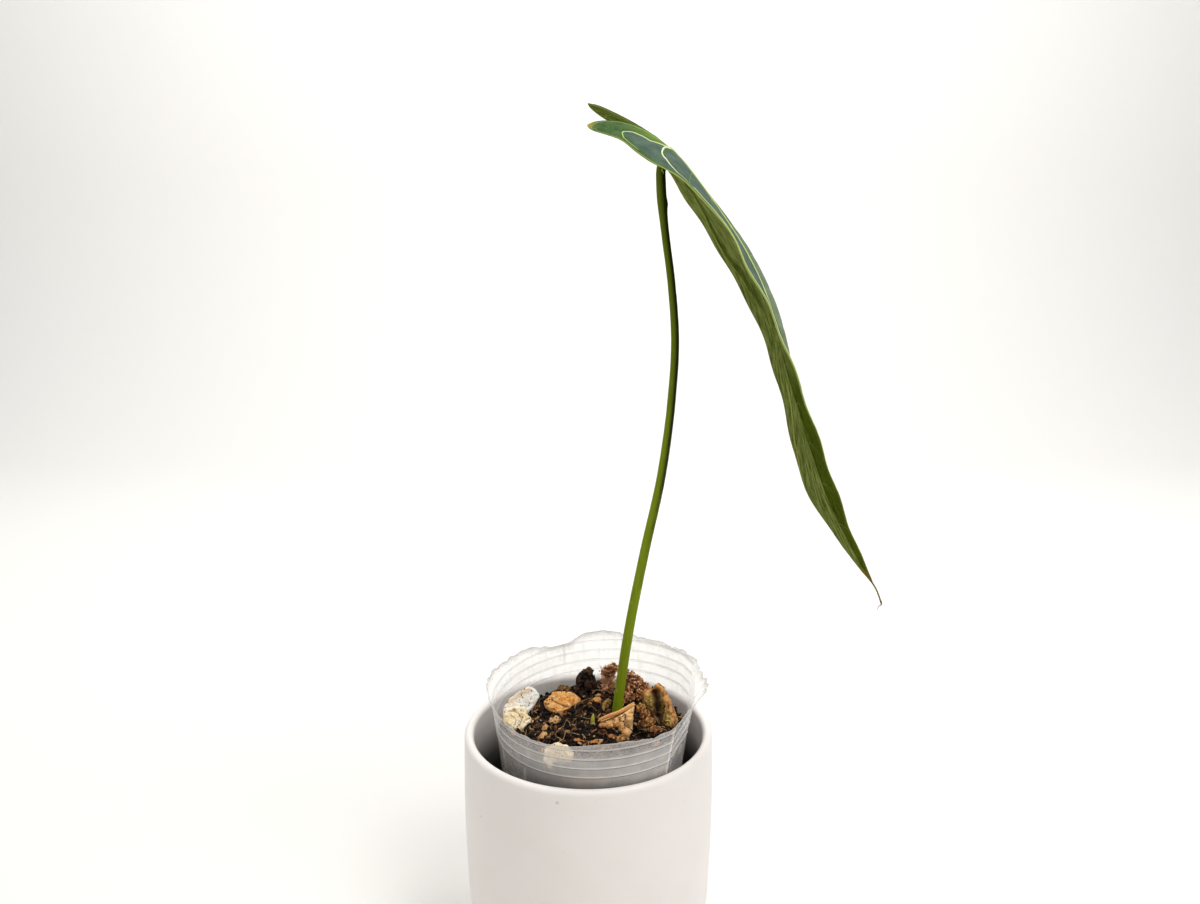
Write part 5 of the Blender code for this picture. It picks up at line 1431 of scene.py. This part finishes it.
def add_vein(heap, tree, flat, side, face, radii, tones, proud=0.35):
    """A fine round vein on one face of the blade, of which a share of its thickness stands out."""
    radii = np.interp(np.linspace(0, 1, len(flat)), np.linspace(0, 1, len(radii)), radii)
    tones = np.interp(np.linspace(0, 1, len(flat)), np.linspace(0, 1, len(tones)), tones)
    places, normals = on_face(tree, flat, side, face)
    path = places + normals * (radii * (2 * proud - 1))[:, None]
    heap.add(*tube(path, radii, VEIN_SIDES), [*tones.repeat(VEIN_SIDES), tones[0], tones[-1]])


def make_veins(tree):
    """Pale veins on both faces: the midrib, the laterals, the basal veins and the marginal vein."""
    top = Heap()
    under = Heap()
    for side in (-1, 1):
        for a in range(BASAL_VEINS + 1, BASAL_VEINS + MIDRIB_VEINS - 1):
            add_vein(top, tree, lateral_vein(a, side), side, 1, (0.16, 0.1), (0.1, 0.0), 0.15)
            add_vein(under, tree, lateral_vein(a, side), side, -1, (0.22, 0.1), (0.1, 0.0), 0.15)
        for flat, radii, tones in ((LOBE_VEIN, (0.22, 0.16), (0.4, 0.1)),
                                   (HAIRPIN_VEIN, (0.4, 0.3, 0.14), (0.75, 0.8, 0.3)),
                                   (FIRST_LATERAL, (0.42, 0.32, 0.12), (0.8, 1.0, 0.3))):
            line = smooth_path(flat, 70)
            add_vein(top, tree, line, side, 1, radii, tones)
            add_vein(under, tree, line, side, -1, radii, (0.4, 0.1), 0.25)
    add_vein(top, tree, marginal_vein(-1), -1, 1, (0.32, 0.37, 0.22), (0.66, 0.8, 0.56))
    add_vein(top, tree, marginal_vein(1), 1, 1, (0.24, 0.16), (0.6, 0.3), 0.2)
    add_vein(under, tree, marginal_vein(-1), -1, -1, (0.2, 0.14), (0.15, 0.0), 0.15)
    far_tones = np.interp(np.linspace(*MARGINAL_RUN), *zip(*FAR_MARGINAL_TONE))
    add_vein(under, tree, marginal_vein(1), 1, -1, (0.2, 0.24, 0.36, 0.34, 0.14), far_tones, 0.4)
    u = np.linspace(-1.0, LEAF_LENGTH - 10.0, 170)
    midrib = np.stack([u, np.full_like(u, ON_MIDRIB)], 1)
    add_vein(top, tree, midrib, -1, 1, (0.6, 0.57, 0.52, 0.42, 0.3, 0.15), (0.35, 0.65, 1.0, 0.95, 0.6), 0.4)
    top_mat = vein_matter("leaf_vein_top", (112, 138, 92), (190, 208, 104), (240, 246, 196))
    under_mat = vein_matter("leaf_vein_under", (92, 108, 36), (136, 150, 60), (186, 194, 92))
    top.piece("leaf_veins_top", top_mat, "leaf_green")
    under.piece("leaf_veins_under", under_mat, "leaf_green")


def make_tip_thread():
    """The dried thread at the end of the drip tip, curled back on itself."""
    tip, _ = blade_point(np.array([LEAF_LENGTH - 1.0]), np.array([ON_MIDRIB]), -1)
    offsets = [(0.0, 0.0, 0.0), (0.4, 0.0, -1.2), (0.2, 0.2, -2.0), (-0.5, 0.3, -2.4), (-0.8, 0.1, -2.9),
               (-1.1, -0.2, -3.6), (-0.9, -0.5, -4.2)]
    path = smooth_path([tuple(tip[0] + np.array(o)) for o in offsets], 24)
    heap = Heap()
    heap.add(*tube(path, np.interp(np.linspace(0, 1, 24), [0, 0.4, 1], [0.42, 0.2, 0.12]), 7),
             np.concatenate([np.linspace(0, 1, 24).repeat(7), (0.0, 1.0)]))
    mat = vein_matter("dried_tip", (128, 106, 56), (150, 132, 90), (206, 200, 186))
    heap.piece("leaf_tip_thread", mat, "leaf_green")


def petiole_line():
    """Centre line and radii of the petiole, up to where it turns into the blade's underside."""
    z = np.linspace(PETIOLE_PATH[0][2], PETIOLE_PATH[-1][2], PETIOLE_STEPS)
    x = through([(p[2], p[0]) for p in PETIOLE_PATH], z)
    y = through([(p[2], p[1]) for p in PETIOLE_PATH], z)
    radii = through([(p[2], p[3] / 2) for p in PETIOLE_PATH], z)
    node, up = blade_point(np.array([0.0]), np.array([ON_MIDRIB]), -1)
    seat = node[0] - up[0] * 0.2
    top = np.array([x[-1], y[-1], z[-1]])
    path = list(np.stack([x, y, z], 1))
    for share in np.linspace(0.12, 1.0, 10):
        bend = np.array(PETIOLE_TOP_BEND) * 4 * share * (1 - share)
        path.append(top + (seat - top) * share + bend)
        radii = np.append(radii, radii[PETIOLE_STEPS - 1] * (1.0 - 0.06 * share))
    return np.array(path), radii


def make_petiole():
    """The leaf stalk: faintly ribbed, with a small swelling on its right side under the top joint."""
    path, radii = petiole_line()
    points, faces = tube(path, radii, PETIOLE_SIDES)
    rings = len(path)
    body = points[:rings * PETIOLE_SIDES].reshape(rings, PETIOLE_SIDES, 3)
    out = body - path[:, None, :]
    direction = unit(out)
    rib = 0.05 * lumps((body * np.array([1.0, 1.0, 0.12])).reshape(-1, 3), 0.8, 2).reshape(body.shape[:2])
    height, size, spread = PETIOLE_BUMP
    bump = size * bell(body[..., 2] - height, spread) * np.clip(direction[..., 0], 0, 1)**2
    body += direction * (rib + bump)[..., None]
    points[:rings * PETIOLE_SIDES] = body.reshape(-1, 3)
    # How far each point faces right, for the painted shade on that side
    right = np.append(np.clip(direction[..., 0] * 1.3 + 0.4, 0, 1).ravel(), (0.0, 0.0))
    add_piece("petiole_stem", points, faces, [petiole_skin()], ["petiole"],
              {"height": points[:, 2], "right": right})


def make_shoot():
    base = np.array(SHOOT_BASE)
    tip = np.array(SHOOT_TIP)
    share = np.linspace(0, 1, 18)
    size = through(SHOOT_STATIONS, share) * SHOOT_RADIUS
    bend = np.stack([-SHOOT_BEND * np.sin(np.pi * share), 0 * share, 0 * share], 1)
    path = base + (tip - base) * share[:, None] + bend
    points, faces = tube(path, size, SHOOT_SIDES)
    heights = (points[:, 2] - base[2]) / (tip[2] - base[2])
    add_piece("shoot_tip", points, faces, [shoot_skin()], ["new_shoot"], {"height": heights})


# Stage, light and camera

FLOOR_REACH = 2600.0
BACKDROP_DISTANCE = 1500.0
BACKDROP_HEIGHT = 2600.0
BACKDROP_ROUNDING = 500.0
ROOM_COLOUR = (0.95, 0.97, 1.0, 1.0)
ROOM_STRENGTH = 0.35
LEAF_AND_POT = (20.0, 0.0, 130.0)
# Lamps: place, target, width and height, power and colour
LAMPS = {"key": ((600.0, -480.0, 1380.0), LEAF_AND_POT, (650.0, 650.0), 12.5, (1.0, 0.985, 0.96)),
         "fill": ((-800.0, -1000.0, 450.0), LEAF_AND_POT, (800.0, 800.0), 1.3, (1.0, 0.87, 0.7)),
         "wall": ((0.0, 300.0, 1500.0), (0.0, 1500.0, 400.0), (1800.0, 600.0), 22.0, (1.0, 1.0, 1.0))}


def make_stage():
    """A pale floor that curves up into a pale wall."""
    line = [(-FLOOR_REACH, 0.0), (BACKDROP_DISTANCE - BACKDROP_ROUNDING, 0.0)]
    for angle in np.radians(np.linspace(10, 90, 12)):
        line.append((BACKDROP_DISTANCE - BACKDROP_ROUNDING * (1 - math.sin(angle)),
                     BACKDROP_ROUNDING * (1 - math.cos(angle))))
    line.append((BACKDROP_DISTANCE, BACKDROP_HEIGHT))
    points = [(x, y, z) for y, z in line for x in (-FLOOR_REACH, FLOOR_REACH)]
    faces = [(2 * i, 2 * i + 1, 2 * i + 3, 2 * i + 2) for i in range(len(line) - 1)]
    mesh = bpy.data.meshes.new("stage_floor")
    mesh.from_pydata((np.array(points) * MM).tolist(), [], faces)
    mesh.materials.append(Shade("pale_floor", roughness=0.8, specular_ior_level=0.2).done((238, 236, 232)))
    mesh.shade_smooth()
    floor = add_to_scene("stage_floor", mesh)


def add_light(name, place, target, size, power, colour):
    light = bpy.data.lights.new(name, "AREA")
    light.shape = "RECTANGLE"
    light.size = size[0] * MM
    light.size_y = size[1] * MM
    light.energy = power
    light.color = colour
    lamp = add_to_scene(name, light)
    lamp.location = Vector(place) * MM
    lamp.rotation_euler = (Vector(target) - Vector(place)).to_track_quat("-Z", "Y").to_euler()


def make_light():
    world = bpy.data.worlds.new("soft_room")
    world.use_nodes = True
    background = world.node_tree.nodes["Background"]
    background.inputs["Color"].default_value = ROOM_COLOUR
    background.inputs["Strength"].default_value = ROOM_STRENGTH
    bpy.context.scene.world = world
    for name, settings in LAMPS.items():
        add_light(name, *settings)


def make_camera():
    camera = bpy.data.cameras.new("photo_camera")
    camera.sensor_width = SENSOR_WIDTH
    camera.lens = CAMERA_FOCAL_PIXELS * SENSOR_WIDTH / PHOTO_WIDTH
    camera.clip_start = 10.0 * MM
    camera.clip_end = 20.0
    eye = add_to_scene("photo_camera", camera)
    eye.location = Vector(CAMERA_PLACE) * MM
    eye.rotation_euler = (math.radians(90.0 - CAMERA_DOWN), 0.0, 0.0)
    bpy.context.scene.camera = eye
    bpy.context.scene.view_settings.view_transform = "Standard"


make_camera()
make_stage()
make_light()
make_pot()
make_cup()
make_ground()
scatter_crumbs()
scatter_fibres()
make_bark()
make_coir()
make_petiole()
make_veins(make_blade())
make_tip_thread()
make_shoot()
